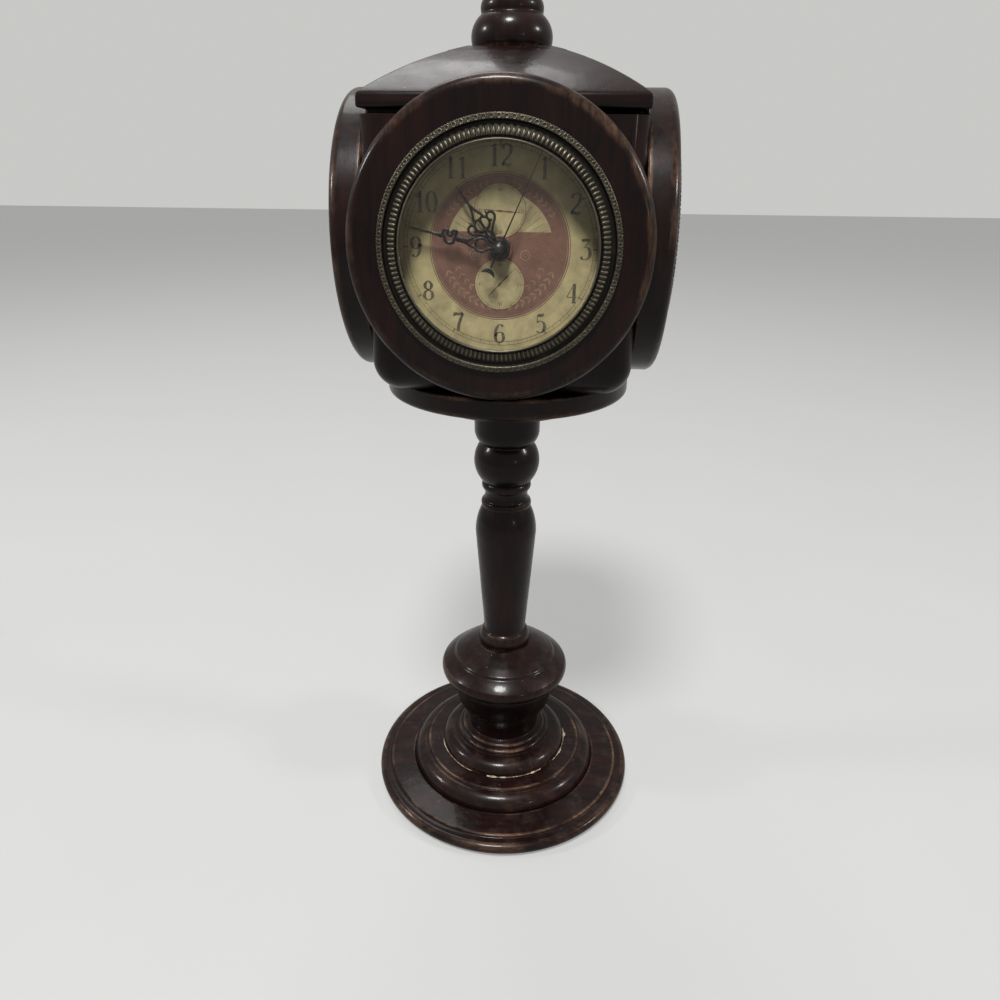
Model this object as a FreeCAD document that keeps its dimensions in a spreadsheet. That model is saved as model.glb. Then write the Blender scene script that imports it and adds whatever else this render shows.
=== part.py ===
"""Four-sided revolving desk clock: a turned wooden stand and a square head that carries four push-in dials.

+Z is up and the clock dial faces -Y. The origin is the centre of the underside of the felt pad.
"""

import FreeCAD
import Part

import math
import os

import Sketcher
from FreeCAD import Placement, Rotation, Vector

# Driving sizes, in millimetres unless the note says otherwise
SIZES = [
    ("glue_gap", 0.05, "gap round dowels, screws and glued rings"),
    ("running_gap", 0.08, "gap round shafts, pipes and friction bands"),
    ("moving_gap", 0.3, "gap between neighbours that move past each other"),
    ("overrun", 1.0, "how far a cut runs past the wood"),
    ("felt_thickness", 1.2, "felt pad"),
    ("felt_inset", 4.0, "felt edge inside the foot's edge"),
    ("base_radius", 79.5, "foot, over the outer bead"),
    ("base_height", 18.6, "foot, up to the seat of the urn"),
    ("base_screw_radius", 3.0, "shank of the screw from foot to urn"),
    ("base_screw_length", 34.0, "shank of the screw from foot to urn"),
    ("base_screw_head_radius", 6.0, "its pan head"),
    ("base_screw_head_height", 3.4, "its pan head"),
    ("counterbore_radius", 9.0, "recess for the head under the foot"),
    ("counterbore_depth", 5.0, "recess for the head under the foot"),
    ("urn_radius", 38.6, "foot of the urn"),
    ("urn_height", 74.2, "urn, foot to column seat"),
    ("dowel_radius", 5.0, "dowel between urn and column"),
    ("dowel_length", 44.0, "dowel between urn and column"),
    ("dowel_chamfer", 0.8, "chamfer on dowels, stud and battery"),
    ("column_radius", 17.6, "ball and neck of the column"),
    ("column_height", 151.0, "column, foot bead to plate"),
    ("plate_radius", 42.0, "thin plate on the column"),
    ("plate_thickness", 3.0, "thin plate on the column"),
    ("plate_screw_circle", 10.5, "circle radius of the plate screws"),
    ("plate_screw_radius", 1.6, "their shank"),
    ("plate_screw_length", 20.0, "their length"),
    ("plate_screw_count", 3, "how many"),
    ("thrust_washer_radius", 30.0, "slip washer under the head"),
    ("thrust_washer_thickness", 1.0, "slip washer under the head"),
    ("stud_radius", 4.0, "pivot stud"),
    ("stud_depth", 38.0, "how deep the stud goes into the column"),
    ("stud_rise", 2.0, "stud above the nut"),
    ("pivot_washer_radius", 11.0, "washer under the nut"),
    ("pivot_washer_thickness", 1.6, "washer under the nut"),
    ("nut_half_width", 6.5, "half the width across the nut's flats"),
    ("nut_height", 6.5, "pivot nut"),
    ("collar_radius", 61.5, "turned drum under the case"),
    ("collar_height", 13.0, "turned drum under the case"),
    ("collar_screw_circle", 36.0, "circle radius of the collar screws"),
    ("collar_screw_radius", 2.0, "their shank"),
    ("collar_screw_length", 27.0, "their length"),
    ("collar_screw_count", 4, "how many"),
    ("case_post", 13.0, "wood of the case beside a dial's bore"),
    ("case_sill", 19.8, "wood of the case under a dial's bore"),
    ("case_head", 4.0, "wood of the case over a dial's bore"),
    ("case_corner_radius", 8.0, "upright corners of the case"),
    ("case_foot_radius", 14.0, "rounded lower edge of the case"),
    ("nut_room_radius", 16.0, "bore in the case floor round the pivot nut"),
    ("ring_width", 17.5, "wood of a round board round its bore"),
    ("ring_thickness", 13.4, "round boards on the four sides"),
    ("ring_edge_radius", 4.0, "rounded front edge of the boards"),
    ("ring_back_radius", 1.0, "rounded back edge of the boards"),
    ("bore_radius", 45.0, "bore for a push-in dial"),
    ("roof_inset", 0.3, "roof edge inside the case's sides"),
    ("roof_shadow_height", 2.0, "recess under the eave"),
    ("roof_shadow_depth", 3.5, "recess under the eave"),
    ("eave_height", 5.2, "upright face of the eave"),
    ("roof_rise", 20.5, "curved roof above the eave"),
    ("roof_top_half_width", 17.4, "flat seat of the finial"),
    ("roof_plug_radius", 30.0, "plug of the roof in the case"),
    ("roof_plug_depth", 4.5, "plug of the roof in the case"),
    ("finial_radius", 18.1, "bulb of the finial"),
    ("finial_height", 53.5, "finial"),
    ("finial_dowel_radius", 4.0, "dowel under the finial"),
    ("finial_dowel_length", 24.0, "dowel under the finial"),
    ("bezel_flange", 4.0, "bezel over the edge of its bore"),
    ("bezel_height", 3.4, "bezel proud of the board"),
    ("bezel_skirt_depth", 3.4, "bezel skirt inside the can"),
    ("bezel_skirt_wall", 0.9, "bezel skirt inside the can"),
    ("bezel_lip", 1.4, "lip of the bezel over the lens"),
    ("rib_count", 72, "ribs round the bezel"),
    ("rib_depth", 0.7, "depth of the furrow between two ribs"),
    ("lens_thickness", 1.2, "flat glass"),
    ("can_gap", 1.6, "room for the band between can and bore"),
    ("can_wall", 1.5, "can"),
    ("can_depth", 27.5, "can behind the board's face"),
    ("can_ledge", 3.0, "ledge in the can that carries the dial"),
    ("can_lip", 5.4, "inward lip at the open back of the can"),
    ("band_width", 9.0, "rubber friction band"),
    ("band_setback", 7.5, "band behind the board's face"),
    ("dial_depth", 7.8, "dial face behind the board's face"),
    ("dial_thickness", 0.8, "dial"),
    ("movement_room", 13.9, "from the movement's side to the can's wall"),
    ("movement_thickness", 16.0, "square movement"),
    ("movement_corner_radius", 6.0, "square movement"),
    ("bush_radius", 4.0, "threaded bush of the movement"),
    ("bush_length", 3.2, "bush in front of the movement"),
    ("clock_nut_half_width", 6.0, "nut on the bush"),
    ("clock_nut_height", 1.6, "nut on the bush"),
    ("pipe_radius", 2.5, "hour pipe"),
    ("arbor_radius", 1.5, "minute arbor"),
    ("pin_radius", 0.5, "second pin"),
    ("arbor_depth", 2.4, "how deep pipe, arbor and pin go into the bush"),
    ("battery_radius", 7.1, "battery"),
    ("battery_wall", 3.25, "movement beside each end of the battery"),
    ("battery_nub_radius", 2.7, "battery nub"),
    ("battery_nub_height", 1.0, "battery nub"),
    ("battery_rise", 11.0, "battery above the movement's lower side"),
    ("knob_radius", 5.5, "setting knob"),
    ("knob_height", 3.4, "setting knob"),
    ("knob_rise", 9.0, "setting knob above the dial's centre"),
    ("knob_spindle_radius", 1.5, "spindle of the knob"),
    ("knob_spindle_depth", 5.0, "spindle of the knob"),
    ("hand_thickness", 0.5, "hands and pointers"),
    ("hand_wire", 0.55, "width of a scroll in a pierced hand"),
    ("hand_hub_radius", 3.6, "hub of the hour and minute hands"),
    ("hour_hand_gap", 10.7, "from the hour hand's tip to the bezel's lip"),
    ("minute_hand_gap", 2.8, "from the minute hand's tip to the bezel's lip"),
    ("second_hand_gap", 0.9, "from the second hand's tip to the bezel's lip"),
    ("second_tail_length", 11.0, "tail of the second hand"),
    ("second_hand_width", 0.7, "second hand at its cap"),
    ("hub_cap_radius", 2.9, "domed cap of the second hand"),
    ("hour_hand_rise", 2.7, "hour hand above the dial"),
    ("minute_hand_rise", 3.8, "minute hand above the dial"),
    ("second_hand_rise", 4.9, "second hand above the dial"),
    ("moon_disc_gap", 9.5, "moon disc's edge inside the bezel's lip"),
    ("moon_disc_thickness", 0.6, "turning moon disc"),
    ("moon_margin", 0.8, "sky between a moon and the window's edge"),
    ("moon_relief", 0.15, "how far a moon stands up"),
    ("moon_hand_gap", 6.5, "from the moon hand's tip to the bezel's lip"),
    ("pointer_gap", 7.5, "from a weather pointer's tip to the bezel's lip"),
    ("pointer_tail_length", 9.0, "its tail"),
    ("pointer_width", 1.6, "its width at the staff"),
    ("staff_radius", 0.8, "staff of a weather pointer"),
    ("staff_depth", 9.0, "staff behind the dial"),
    ("collet_radius", 2.0, "collet on the staff"),
    ("coil_gap_radius", 2.6, "inner turn of a weather coil"),
    ("coil_step", 1.1, "growth of the coil in half a turn"),
    ("coil_strip", 0.5, "thickness of its strip"),
    ("coil_width", 5.0, "width of its strip"),
    ("coil_setback", 2.6, "coil behind the dial"),
    ("coil_post_width", 2.4, "post that holds its outer end"),
]

# Angles at which the hands stand, clockwise from the top of their dial
HOUR_HAND_ANGLE = 323.5
MINUTE_HAND_ANGLE = 282.4
SECOND_HAND_ANGLE = 24.4
MOON_HAND_ANGLE = 122.0
MOON_DISC_ANGLE = 20.0
TEMPERATURE_ANGLE = 20.6
HUMIDITY_ANGLE = 13.5

# The four sides of the head, one quarter turn apart, with the way that each faces
SIDES = ["clock", "moon", "humidity", "temperature"]
RING_NAMES = ["ring_front", "ring_right", "ring_back", "ring_left"]
OUTWARD_SHARES = [("y", -1), ("x", 1), ("y", 1), ("x", -1)]

QUARTER_SHARE = math.tan(math.pi / 8)
COIL_HALF_TURN_COUNT = 8

# Outlines of turned pieces, from the bottom up: share of the radius, share of the height, bulge of the
# stretch that follows as a share of half its chord (outward above zero)
FOOT_SHARE = 0.966
BASE_SHARES = [
    (FOOT_SHARE, 0.000, 1.00),
    (0.948, 0.355, 0.00),
    (0.914, 0.355, 0.00),
    (0.906, 0.430, 0.00),
    (0.722, 0.490, 0.00),
    (0.714, 0.450, 0.40),
    (0.622, 0.955, 0.00),
    (0.608, 0.945, 0.00),
    (0.604, 1.000, 0.00),
]
URN_SHARES = [
    (1.000, 0.000, 0.00),
    (1.000, 0.016, 0.44),
    (0.775, 0.105, 0.00),
    (0.735, 0.112, 0.45),
    (0.700, 0.142, 0.00),
    (0.665, 0.145, 0.45),
    (0.630, 0.175, 0.00),
    (0.560, 0.185, -0.16),
    (0.725, 0.437, 0.06),
    (0.825, 0.690, 0.00),
    (0.915, 0.700, 0.42),
    (0.962, 0.812, 0.06),
    (0.790, 0.880, 0.00),
    (0.768, 0.898, 0.05),
    (0.420, 1.000, 0.00),
]
COLUMN_SHARES = [
    (0.800, 0.000, 0.28),
    (0.750, 0.056, 0.00),
    (0.690, 0.061, 0.00),
    (0.977, 0.490, 0.12),
    (0.762, 0.595, 0.28),
    (0.762, 0.619, 0.00),
    (0.716, 0.623, -0.26),
    (0.716, 0.665, 0.00),
    (0.738, 0.666, 0.32),
    (0.738, 0.691, 0.00),
    (0.722, 0.693, 0.37),
    (0.824, 0.841, 0.00),
    (0.824, 0.844, 0.22),
    (0.994, 0.894, 0.00),
    (1.000, 1.000, 0.00),
]
COLLAR_SHARES = [
    (0.700, 0.000, 0.10),
    (0.965, 0.230, 0.36),
    (1.000, 0.420, 0.00),
    (1.000, 0.940, QUARTER_SHARE),
    (0.987, 1.000, 0.00),
]
FINIAL_SHARES = [
    (0.928, 0.000, 0.36),
    (0.755, 0.248, 0.00),
    (0.745, 0.262, 0.42),
    (0.520, 0.400, -0.30),
    (0.420, 0.470, 0.00),
    (0.500, 0.480, 0.50),
    (0.480, 0.530, 0.00),
    (0.330, 0.545, 0.16),
    (0.150, 0.875, 0.00),
    (0.190, 0.885, 0.00),
]
FINIAL_TIP_SHARE = 0.19
BUTTON_SHARE = 0.6
ROOF_BULGE_SHARE = 0.085

# Bezel outline from its flange inwards: share of the way from its lip to its rim, share of its height, bulge
CROWN_BORE_SHARE = 0.205
LENS_SEAT_SHARE = 0.62
BEZEL_SHARES = [
    (1.000, 0.000, 0.00),
    (1.000, 0.340, 0.75),
    (0.730, 0.420, 0.00),
    (0.700, 0.300, 0.00),
    (0.205, 0.300, 0.00),
    (CROWN_BORE_SHARE, 0.740, 0.00),
    (0.165, 0.740, 0.30),
    (0.080, 1.000, 0.40),
    (0.020, 0.960, 0.20),
    (0.000, LENS_SEAT_SHARE, 0.00),
]
RIB_FOOT_SHARES = (0.575, 0.300)
RIB_TOP_SHARES = (0.235, 0.920)

# Scrolls of the pierced hands: places and radii as shares of the hand's length
HOUR_SCROLL_SHARES = [
    (0.085, 0.205, 0.072),
    (0.078, 0.390, 0.092),
    (0.198, 0.440, 0.062),
]
MINUTE_SCROLL_SHARES = [
    (0.052, 0.230, 0.064),
]
MINUTE_LOOP_SHARES = (0.0, 0.555, 0.060)
HOUR_SPINE_SHARES = [
    (0.035, 0.100),
    (0.012, 0.300),
    (0.042, 0.560),
    (0.016, 0.640),
    (0.030, 0.700),
    (0.006, 1.000),
]
MINUTE_SPINE_SHARES = [(0.030, 0.080), (0.014, 0.250), (0.040, 0.330), (0.030, 0.500), (0.010, 0.520)]
MINUTE_TIP_SHARES = [(0.010, 0.605), (0.024, 0.660), (0.005, 1.000)]
MOON_HAND_SHARES = [(0.022, -0.260), (0.022, 0.640), (0.055, 0.640), (0.004, 1.000)]
HORN_SHARES = [(0.225, 0.490), (0.262, 0.560), (0.190, 0.500)]
MOON_WINDOW_SHARES = (0.300, 0.860)
MOON_WINDOW_ANGLE = 62.0
TIP_SHARE = 0.35
TAIL_STEM_SHARE = 0.72
CRESCENT_SHARE = 0.26
CRESCENT_HOLLOW_SHARE = -0.35
CRESCENT_BACK_SHARE = 0.95
CAP_SHARE = 0.62
CAP_BULGE_SHARE = math.tan(math.atan(CAP_SHARE) / 2)
GRIP_SHARE = 0.55
BAND_LIP_SHARES = (0.10, 0.30, 0.40, 0.60, 0.70, 0.90)
HEAD_SHARE = 2.0
POINT_SHARE = 0.82
HEXAGON_SIDES = 6


class Size:
    """A length in millimetres, with the sheet formula that gives it."""

    def __init__(self, value, formula):
        self.value = value
        self.formula = formula

    def __add__(self, other):
        return Size(self.value + other.value, f"({self.formula} + {other.formula})")

    def __sub__(self, other):
        return Size(self.value - other.value, f"({self.formula} - {other.formula})")

    def __mul__(self, share):
        return Size(self.value * share, f"({self.formula} * {share:.9g})")

    def __truediv__(self, share):
        return Size(self.value / share, f"({self.formula} / {share:.9g})")

    def __neg__(self):
        return self * -1


class Sheet:
    """The spreadsheet of driving sizes; each alias reads as an attribute."""

    def __init__(self, doc):
        self.cells = doc.addObject("Spreadsheet::Sheet", "sizes")
        for row, (alias, value, note) in enumerate(SIZES, start=1):
            self.cells.set(f"A{row}", note)
            self.cells.set(f"B{row}", str(value))
            self.cells.setAlias(f"B{row}", alias)
        doc.recompute()
        for alias, _, _ in SIZES:
            setattr(self, alias, Size(float(self.cells.get(alias)), f"sizes.{alias}"))


doc = FreeCAD.newDocument("desk_clock")
size = Sheet(doc)
NIL = Size(0, "0")
subparts = []

# The head and the push-in dials follow the bore that the dials are made for
case_half_width = size.bore_radius + size.case_post
dial_rise = size.case_sill + size.bore_radius
case_height = dial_rise + size.bore_radius + size.case_head
ring_radius = size.bore_radius + size.ring_width
bezel_radius = size.bore_radius + size.bezel_flange
can_radius = size.bore_radius - size.can_gap
can_bore = can_radius - size.can_wall
lens_bore = can_bore - size.glue_gap * 2 - size.bezel_skirt_wall
lip_bore = lens_bore - size.bezel_lip
movement_half_width = can_bore - size.movement_room
battery_half_length = movement_half_width - size.battery_wall
battery_height = size.battery_rise - movement_half_width
moon_disc_radius = lip_bore - size.moon_disc_gap

# Heights of the stacked pieces
urn_floor = size.felt_thickness + size.base_height
column_floor = urn_floor + size.urn_height
plate_floor = column_floor + size.column_height
washer_floor = plate_floor + size.plate_thickness
collar_floor = washer_floor + size.thrust_washer_thickness
case_floor = collar_floor + size.collar_height
roof_floor = case_floor + case_height
roof_height = size.roof_shadow_height + size.eave_height + size.roof_rise
finial_floor = roof_floor + roof_height
dial_height = case_floor + dial_rise
face_reach = case_half_width + size.ring_thickness

# Screws on a circle: circle radius, shank radius, length and count
plate_screw = (
    size.plate_screw_circle,
    size.plate_screw_radius,
    size.plate_screw_length,
    size.plate_screw_count,
)
collar_screw = (
    size.collar_screw_circle,
    size.collar_screw_radius,
    size.collar_screw_length,
    size.collar_screw_count,
)

# Depths inside a push-in dial, measured outward from the face of its board
dial_face = -size.dial_depth
dial_back = dial_face - size.dial_thickness
moon_back = dial_back - size.moon_disc_thickness - size.moving_gap * 3


def bind(item, path, length):
    """Tie a property of an object to the sheet."""
    item.setExpression(path, length.formula)


def raise_to(item, height):
    """Stand an object at a height on the clock's axis."""
    bind(item, "Placement.Base.z", height)


def face_out(item, side, clockwise=0.0, up=NIL, out=NIL):
    """Put an object, whose Z axis points out of a dial, on one side of the head."""
    turn = SIDES.index(side)
    around = Rotation(Vector(0, 0, 1), 90 * turn)
    upright = Rotation(Vector(1, 0, 0), 90)
    item.Placement = Placement(Vector(), around * upright * Rotation(Vector(0, 0, 1), -clockwise))
    axis, sign = OUTWARD_SHARES[turn]
    bind(item, f"Placement.Base.{axis}", (face_reach + out) * sign)
    bind(item, "Placement.Base.z", dial_height + up)


def new_body(name):
    """A body that becomes one node of the clock."""
    body = doc.addObject("PartDesign::Body", name)
    body.Label = name
    subparts.append(body)
    return body


def origin_item(body, role):
    """An origin plane or axis of a body."""
    return next(item for item in body.Origin.OriginFeatures if item.Role == role)


def new_sketch(body, plane="XZ_Plane", offset=None):
    """A sketch on an origin plane of its body, moved along the plane's normal if asked."""
    sketch = body.newObject("Sketcher::SketchObject", body.Name + "_sketch")
    sketch.AttachmentSupport = [(origin_item(body, plane), "")]
    sketch.MapMode = "FlatFace"
    if offset is not None:
        bind(sketch, "AttachmentOffset.Base.z", offset)
    return sketch


def fix_coordinate(sketch, kind, geometry, point, place):
    """Hold one coordinate of a sketch point at a size from the sheet."""
    if place.value == 0:
        axis = -2 if kind == "DistanceX" else -1
        sketch.addConstraint(Sketcher.Constraint("PointOnObject", geometry, point, axis))
        return
    index = sketch.addConstraint(Sketcher.Constraint(kind, -1, 1, geometry, point, place.value))
    bind(sketch, f"Constraints[{index}]", place)


def bulge_point(start, end, bulge):
    """The middle of an arc that bulges to the right of the way from start to end."""
    across = (end[0].value - start[0].value, end[1].value - start[1].value)
    middle = ((start[0].value + end[0].value) / 2, (start[1].value + end[1].value) / 2)
    return Vector(middle[0] + across[1] * bulge / 2, middle[1] - across[0] * bulge / 2, 0)


def point_of(place):
    """A vector at a place given by two sizes."""
    return Vector(place[0].value, place[1].value, 0)


def add_stretch(sketch, start, end, bulge):
    """Add a line or an arc; gives its number and the corner numbers of its start and end."""
    if not bulge:
        return sketch.addGeometry(Part.LineSegment(point_of(start), point_of(end))), 1, 2
    arc = Part.ArcOfCircle(point_of(start), bulge_point(start, end, bulge), point_of(end))
    number = sketch.addGeometry(arc)
    forward = sketch.getPoint(number, 1).isEqual(point_of(start), 1e-6)
    return (number, 1, 2) if forward else (number, 2, 1)


def fix_centre(sketch, number, start, end, bulge):
    """Hold the one centre coordinate that settles an arc between two fixed ends."""
    reach = (1 - bulge * bulge) / (4 * bulge)
    if abs(end[0].value - start[0].value) >= abs(end[1].value - start[1].value):
        centre = (start[1] + end[1]) / 2 + (end[0] - start[0]) * reach
        fix_coordinate(sketch, "DistanceY", number, 3, centre)
    else:
        centre = (start[0] + end[0]) / 2 - (end[1] - start[1]) * reach
        fix_coordinate(sketch, "DistanceX", number, 3, centre)


def draw(sketch, outline):
    """Draw a closed outline of (x, y, bulge) and hold every corner at its size."""
    ends = outline[1:] + outline[:1]
    stretches = [add_stretch(sketch, start, end, start[2]) for start, end in zip(outline, ends)]
    for index, (number, first, last) in enumerate(stretches):
        start, end = outline[index], ends[index]
        following, its_first, _ = stretches[(index + 1) % len(stretches)]
        sketch.addConstraint(Sketcher.Constraint("Coincident", number, last, following, its_first))
        fix_coordinate(sketch, "DistanceX", number, first, start[0])
        fix_coordinate(sketch, "DistanceY", number, first, start[1])
        if start[2]:
            fix_centre(sketch, number, start, end, start[2])


def draw_circle(sketch, radius, x=NIL, y=NIL):
    """Draw a circle whose centre and radius follow the sheet."""
    number = sketch.addGeometry(Part.Circle(Vector(x.value, y.value, 0), Vector(0, 0, 1), radius.value))
    fix_coordinate(sketch, "DistanceX", number, 3, x)
    fix_coordinate(sketch, "DistanceY", number, 3, y)
    index = sketch.addConstraint(Sketcher.Constraint("Radius", number, radius.value))
    bind(sketch, f"Constraints[{index}]", radius)


def corner(x, y, bulge=0):
    """One corner of an outline."""
    return (x, y, bulge)


def shared_outline(shares, radius, height):
    """An outline from shares of a radius and a height."""
    return [corner(radius * across, height * up, bulge) for across, up, bulge in shares]


def box_outline(left, right, low, high):
    """The outline of a rectangle."""
    return [corner(left, low), corner(right, low), corner(right, high), corner(left, high)]


def revolve(body, outline, kind="PartDesign::Revolution"):
    """Turn an outline about the body's Z axis."""
    sketch = new_sketch(body)
    draw(sketch, outline)
    feature = body.newObject(kind, body.Name + "_turned")
    feature.Profile = sketch
    feature.ReferenceAxis = (sketch, ["V_Axis"])
    feature.Angle = 360
    return feature


def turned(name, outline, height=None):
    """A turned piece at a height on the clock's axis."""
    body = new_body(name)
    revolve(body, outline)
    if height is not None:
        raise_to(body, height)
    return body


def pad(body, sketch, length, backward=False):
    """Thicken a sketch."""
    feature = body.newObject("PartDesign::Pad", body.Name + "_pad")
    feature.Profile = sketch
    bind(feature, "Length", length)
    feature.Reversed = backward
    return feature


def pocket(body, sketch, length=None, backward=False):
    """Cut a sketch out of a body, right through both ways where no length is given."""
    feature = body.newObject("PartDesign::Pocket", body.Name + "_pocket")
    feature.Profile = sketch
    feature.Reversed = backward
    if length is None:
        feature.SideType = "Symmetric"
        feature.Type = "ThroughAll"
    else:
        bind(feature, "Length", length)
    return feature


def circle_of(body, feature, count):
    """Repeat a feature round the body's Z axis."""
    pattern = body.newObject("PartDesign::PolarPattern", body.Name + "_circle")
    pattern.Originals = [feature]
    pattern.Axis = (origin_item(body, "Z_Axis"), [""])
    pattern.Angle = 360
    bind(pattern, "Occurrences", count)
    body.Tip = pattern
    return pattern


def screw_outline(shank, length, gap):
    """Half of a countersunk wood screw, point first; the gap widens it into its hole."""
    head = shank * HEAD_SHARE
    return [
        (NIL, -length - gap),
        (shank + gap, -length * POINT_SHARE),
        (shank + gap, -shank),
        (head + gap, NIL),
        (NIL, NIL),
    ]


def turn_about(body, sketch, outline, start, end, kind="PartDesign::Revolution"):
    """Turn an outline about a line of its own sketch."""
    draw(sketch, outline)
    number = sketch.addGeometry(Part.LineSegment(point_of(start), point_of(end)), True)
    for tip, place in enumerate((start, end), start=1):
        fix_coordinate(sketch, "DistanceX", number, tip, place[0])
        fix_coordinate(sketch, "DistanceY", number, tip, place[1])
    feature = body.newObject(kind, body.Name + "_turned")
    feature.Profile = sketch
    feature.ReferenceAxis = (sketch, ["Axis0"])
    feature.Angle = 360
    return feature


def screw_circle(body, kind, screw, gap, head_at=NIL, upward=1):
    """Screws or their holes on a circle; they point down, or up where upward is -1."""
    circle, shank, length, count = screw
    outline = screw_outline(shank, length, gap)
    placed = [corner(circle + across, head_at + up * upward) for across, up in outline]
    first = turn_about(body, new_sketch(body), placed, placed[0], placed[-1], kind)
    circle_of(body, first, count)


def screw_holes(body, screw, head_at=NIL, upward=1):
    """Countersunk holes on a circle."""
    screw_circle(body, "PartDesign::Groove", screw, size.glue_gap, head_at, upward)


def screw_set(name, screw, height, upward=1):
    """The screws on a circle, as one node of separate solids."""
    body = new_body(name)
    screw_circle(body, "PartDesign::Revolution", screw, NIL, NIL, upward)
    raise_to(body, height)


def dowel_outline(radius, length):
    """Half of a pin with chamfered ends."""
    edge = size.dowel_chamfer
    return [
        corner(NIL, NIL),
        corner(radius - edge, NIL),
        corner(radius, edge),
        corner(radius, length - edge),
        corner(radius - edge, length),
        corner(NIL, length),
    ]


def washer_outline(outer, inner, thickness):
    """Half the section of a flat ring."""
    return box_outline(inner, outer, NIL, thickness)


def add_feature(name, shape):
    """A node whose shape is worked out from the sheet here."""
    feature = doc.addObject("Part::Feature", name)
    feature.Label = name
    feature.Shape = shape
    subparts.append(feature)
    return feature


# Stand


def build_base():
    """Felt pad, stepped foot and the screw that holds the foot to the urn."""
    edge = size.base_radius * FOOT_SHARE - size.felt_inset
    turned("base_felt", box_outline(NIL, edge, NIL, size.felt_thickness))
    hole = size.base_screw_radius + size.glue_gap
    turned(
        "base_plinth",
        shared_outline(BASE_SHARES, size.base_radius, size.base_height)
        + [
            corner(hole, size.base_height),
            corner(hole, size.counterbore_depth),
            corner(size.counterbore_radius, size.counterbore_depth),
            corner(size.counterbore_radius, NIL),
        ],
        size.felt_thickness,
    )
    head = size.base_screw_head_height
    turned(
        "base_screw",
        [
            corner(NIL, NIL),
            corner(size.base_screw_head_radius * BUTTON_SHARE, NIL, QUARTER_SHARE),
            corner(size.base_screw_head_radius, head * BUTTON_SHARE),
            corner(size.base_screw_head_radius, head),
            corner(size.base_screw_radius, head),
            corner(size.base_screw_radius, head + size.base_screw_length * POINT_SHARE),
            corner(NIL, head + size.base_screw_length),
        ],
        size.felt_thickness + size.counterbore_depth - head,
    )


def build_urn():
    """Turned urn with a screw hole below and a dowel hole above."""
    bore = size.base_screw_radius + size.glue_gap
    depth = size.base_screw_length + size.counterbore_depth - size.base_height + size.glue_gap
    socket = size.dowel_radius + size.glue_gap
    floor = size.urn_height - size.dowel_length / 2 - size.glue_gap
    turned(
        "pedestal_urn",
        [corner(bore, NIL)]
        + shared_outline(URN_SHARES, size.urn_radius, size.urn_height)
        + [corner(socket, size.urn_height), corner(socket, floor), corner(NIL, floor), corner(NIL, depth)]
        + [corner(bore, depth)],
        urn_floor,
    )
    dowel = dowel_outline(size.dowel_radius, size.dowel_length)
    turned("column_dowel", dowel, column_floor - size.dowel_length / 2)


def build_column():
    """Baluster column with a dowel hole below and the stud's hole above."""
    socket = size.dowel_radius + size.glue_gap
    roof = size.dowel_length / 2 + size.glue_gap
    bore = size.stud_radius + size.glue_gap
    floor = size.column_height - size.stud_depth - size.glue_gap
    body = turned(
        "column",
        [corner(socket, NIL)]
        + shared_outline(COLUMN_SHARES, size.column_radius, size.column_height)
        + [corner(bore, size.column_height), corner(bore, floor), corner(NIL, floor), corner(NIL, roof)]
        + [corner(socket, roof)],
        column_floor,
    )
    screw_holes(body, plate_screw, size.column_height + size.plate_thickness)


def build_pivot():
    """Plate, slip washer, stud, washer and nut that the head turns on."""
    bore = size.stud_radius + size.glue_gap
    edge = size.plate_thickness / 2
    body = turned(
        "swivel_plate",
        [
            corner(bore, -size.plate_thickness),
            corner(size.plate_radius - edge, -size.plate_thickness, 1),
            corner(size.plate_radius - edge, NIL),
            corner(bore, NIL),
        ],
        washer_floor,
    )
    screw_holes(body, plate_screw)
    screw_set("plate_screws", plate_screw, washer_floor)
    washer = washer_outline(size.thrust_washer_radius, bore, size.thrust_washer_thickness)
    turned("thrust_washer", washer, washer_floor)
    washer = washer_outline(size.pivot_washer_radius, bore, size.pivot_washer_thickness)
    turned("pivot_washer", washer, case_floor + size.moving_gap)
    nut_floor = case_floor + size.moving_gap + size.pivot_washer_thickness
    raise_to(hex_nut("pivot_nut", size.nut_half_width, size.nut_height, bore), nut_floor)
    stud_foot = plate_floor - size.stud_depth
    stud_length = nut_floor + size.nut_height + size.stud_rise - stud_foot
    turned("pivot_stud", dowel_outline(size.stud_radius, stud_length), stud_foot)


def hexagon(half_width):
    """The outline of a nut."""
    reach = 1 / math.cos(math.pi / HEXAGON_SIDES)
    angles = [2 * math.pi * (side + 0.5) / HEXAGON_SIDES for side in range(HEXAGON_SIDES)]
    return [corner(half_width * (reach * math.cos(a)), half_width * (reach * math.sin(a))) for a in angles]


def hex_nut(name, half_width, height, bore):
    """A six-sided nut standing on the XY plane."""
    body = new_body(name)
    sketch = new_sketch(body, "XY_Plane")
    draw(sketch, hexagon(half_width))
    draw_circle(sketch, bore)
    pad(body, sketch, height)
    return body


# Head


def build_collar():
    """Turned drum under the case, with its running bore and its screws."""
    bore = size.stud_radius + size.running_gap
    body = turned(
        "head_collar",
        [corner(bore, NIL)]
        + shared_outline(COLLAR_SHARES, size.collar_radius, size.collar_height)
        + [corner(bore, size.collar_height)],
        collar_floor,
    )
    screw_holes(body, collar_screw, upward=-1)
    screw_set("collar_screws", collar_screw, collar_floor, upward=-1)


def rounded_square(half_width, radius):
    """A square with rounded corners."""
    inner = half_width - radius
    right = [(inner, -half_width), (half_width, -inner), (half_width, inner), (inner, half_width)]
    places = right + [(-x, -y) for x, y in right]
    return [corner(x, y, QUARTER_SHARE * (1 - number % 2)) for number, (x, y) in enumerate(places)]


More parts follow.
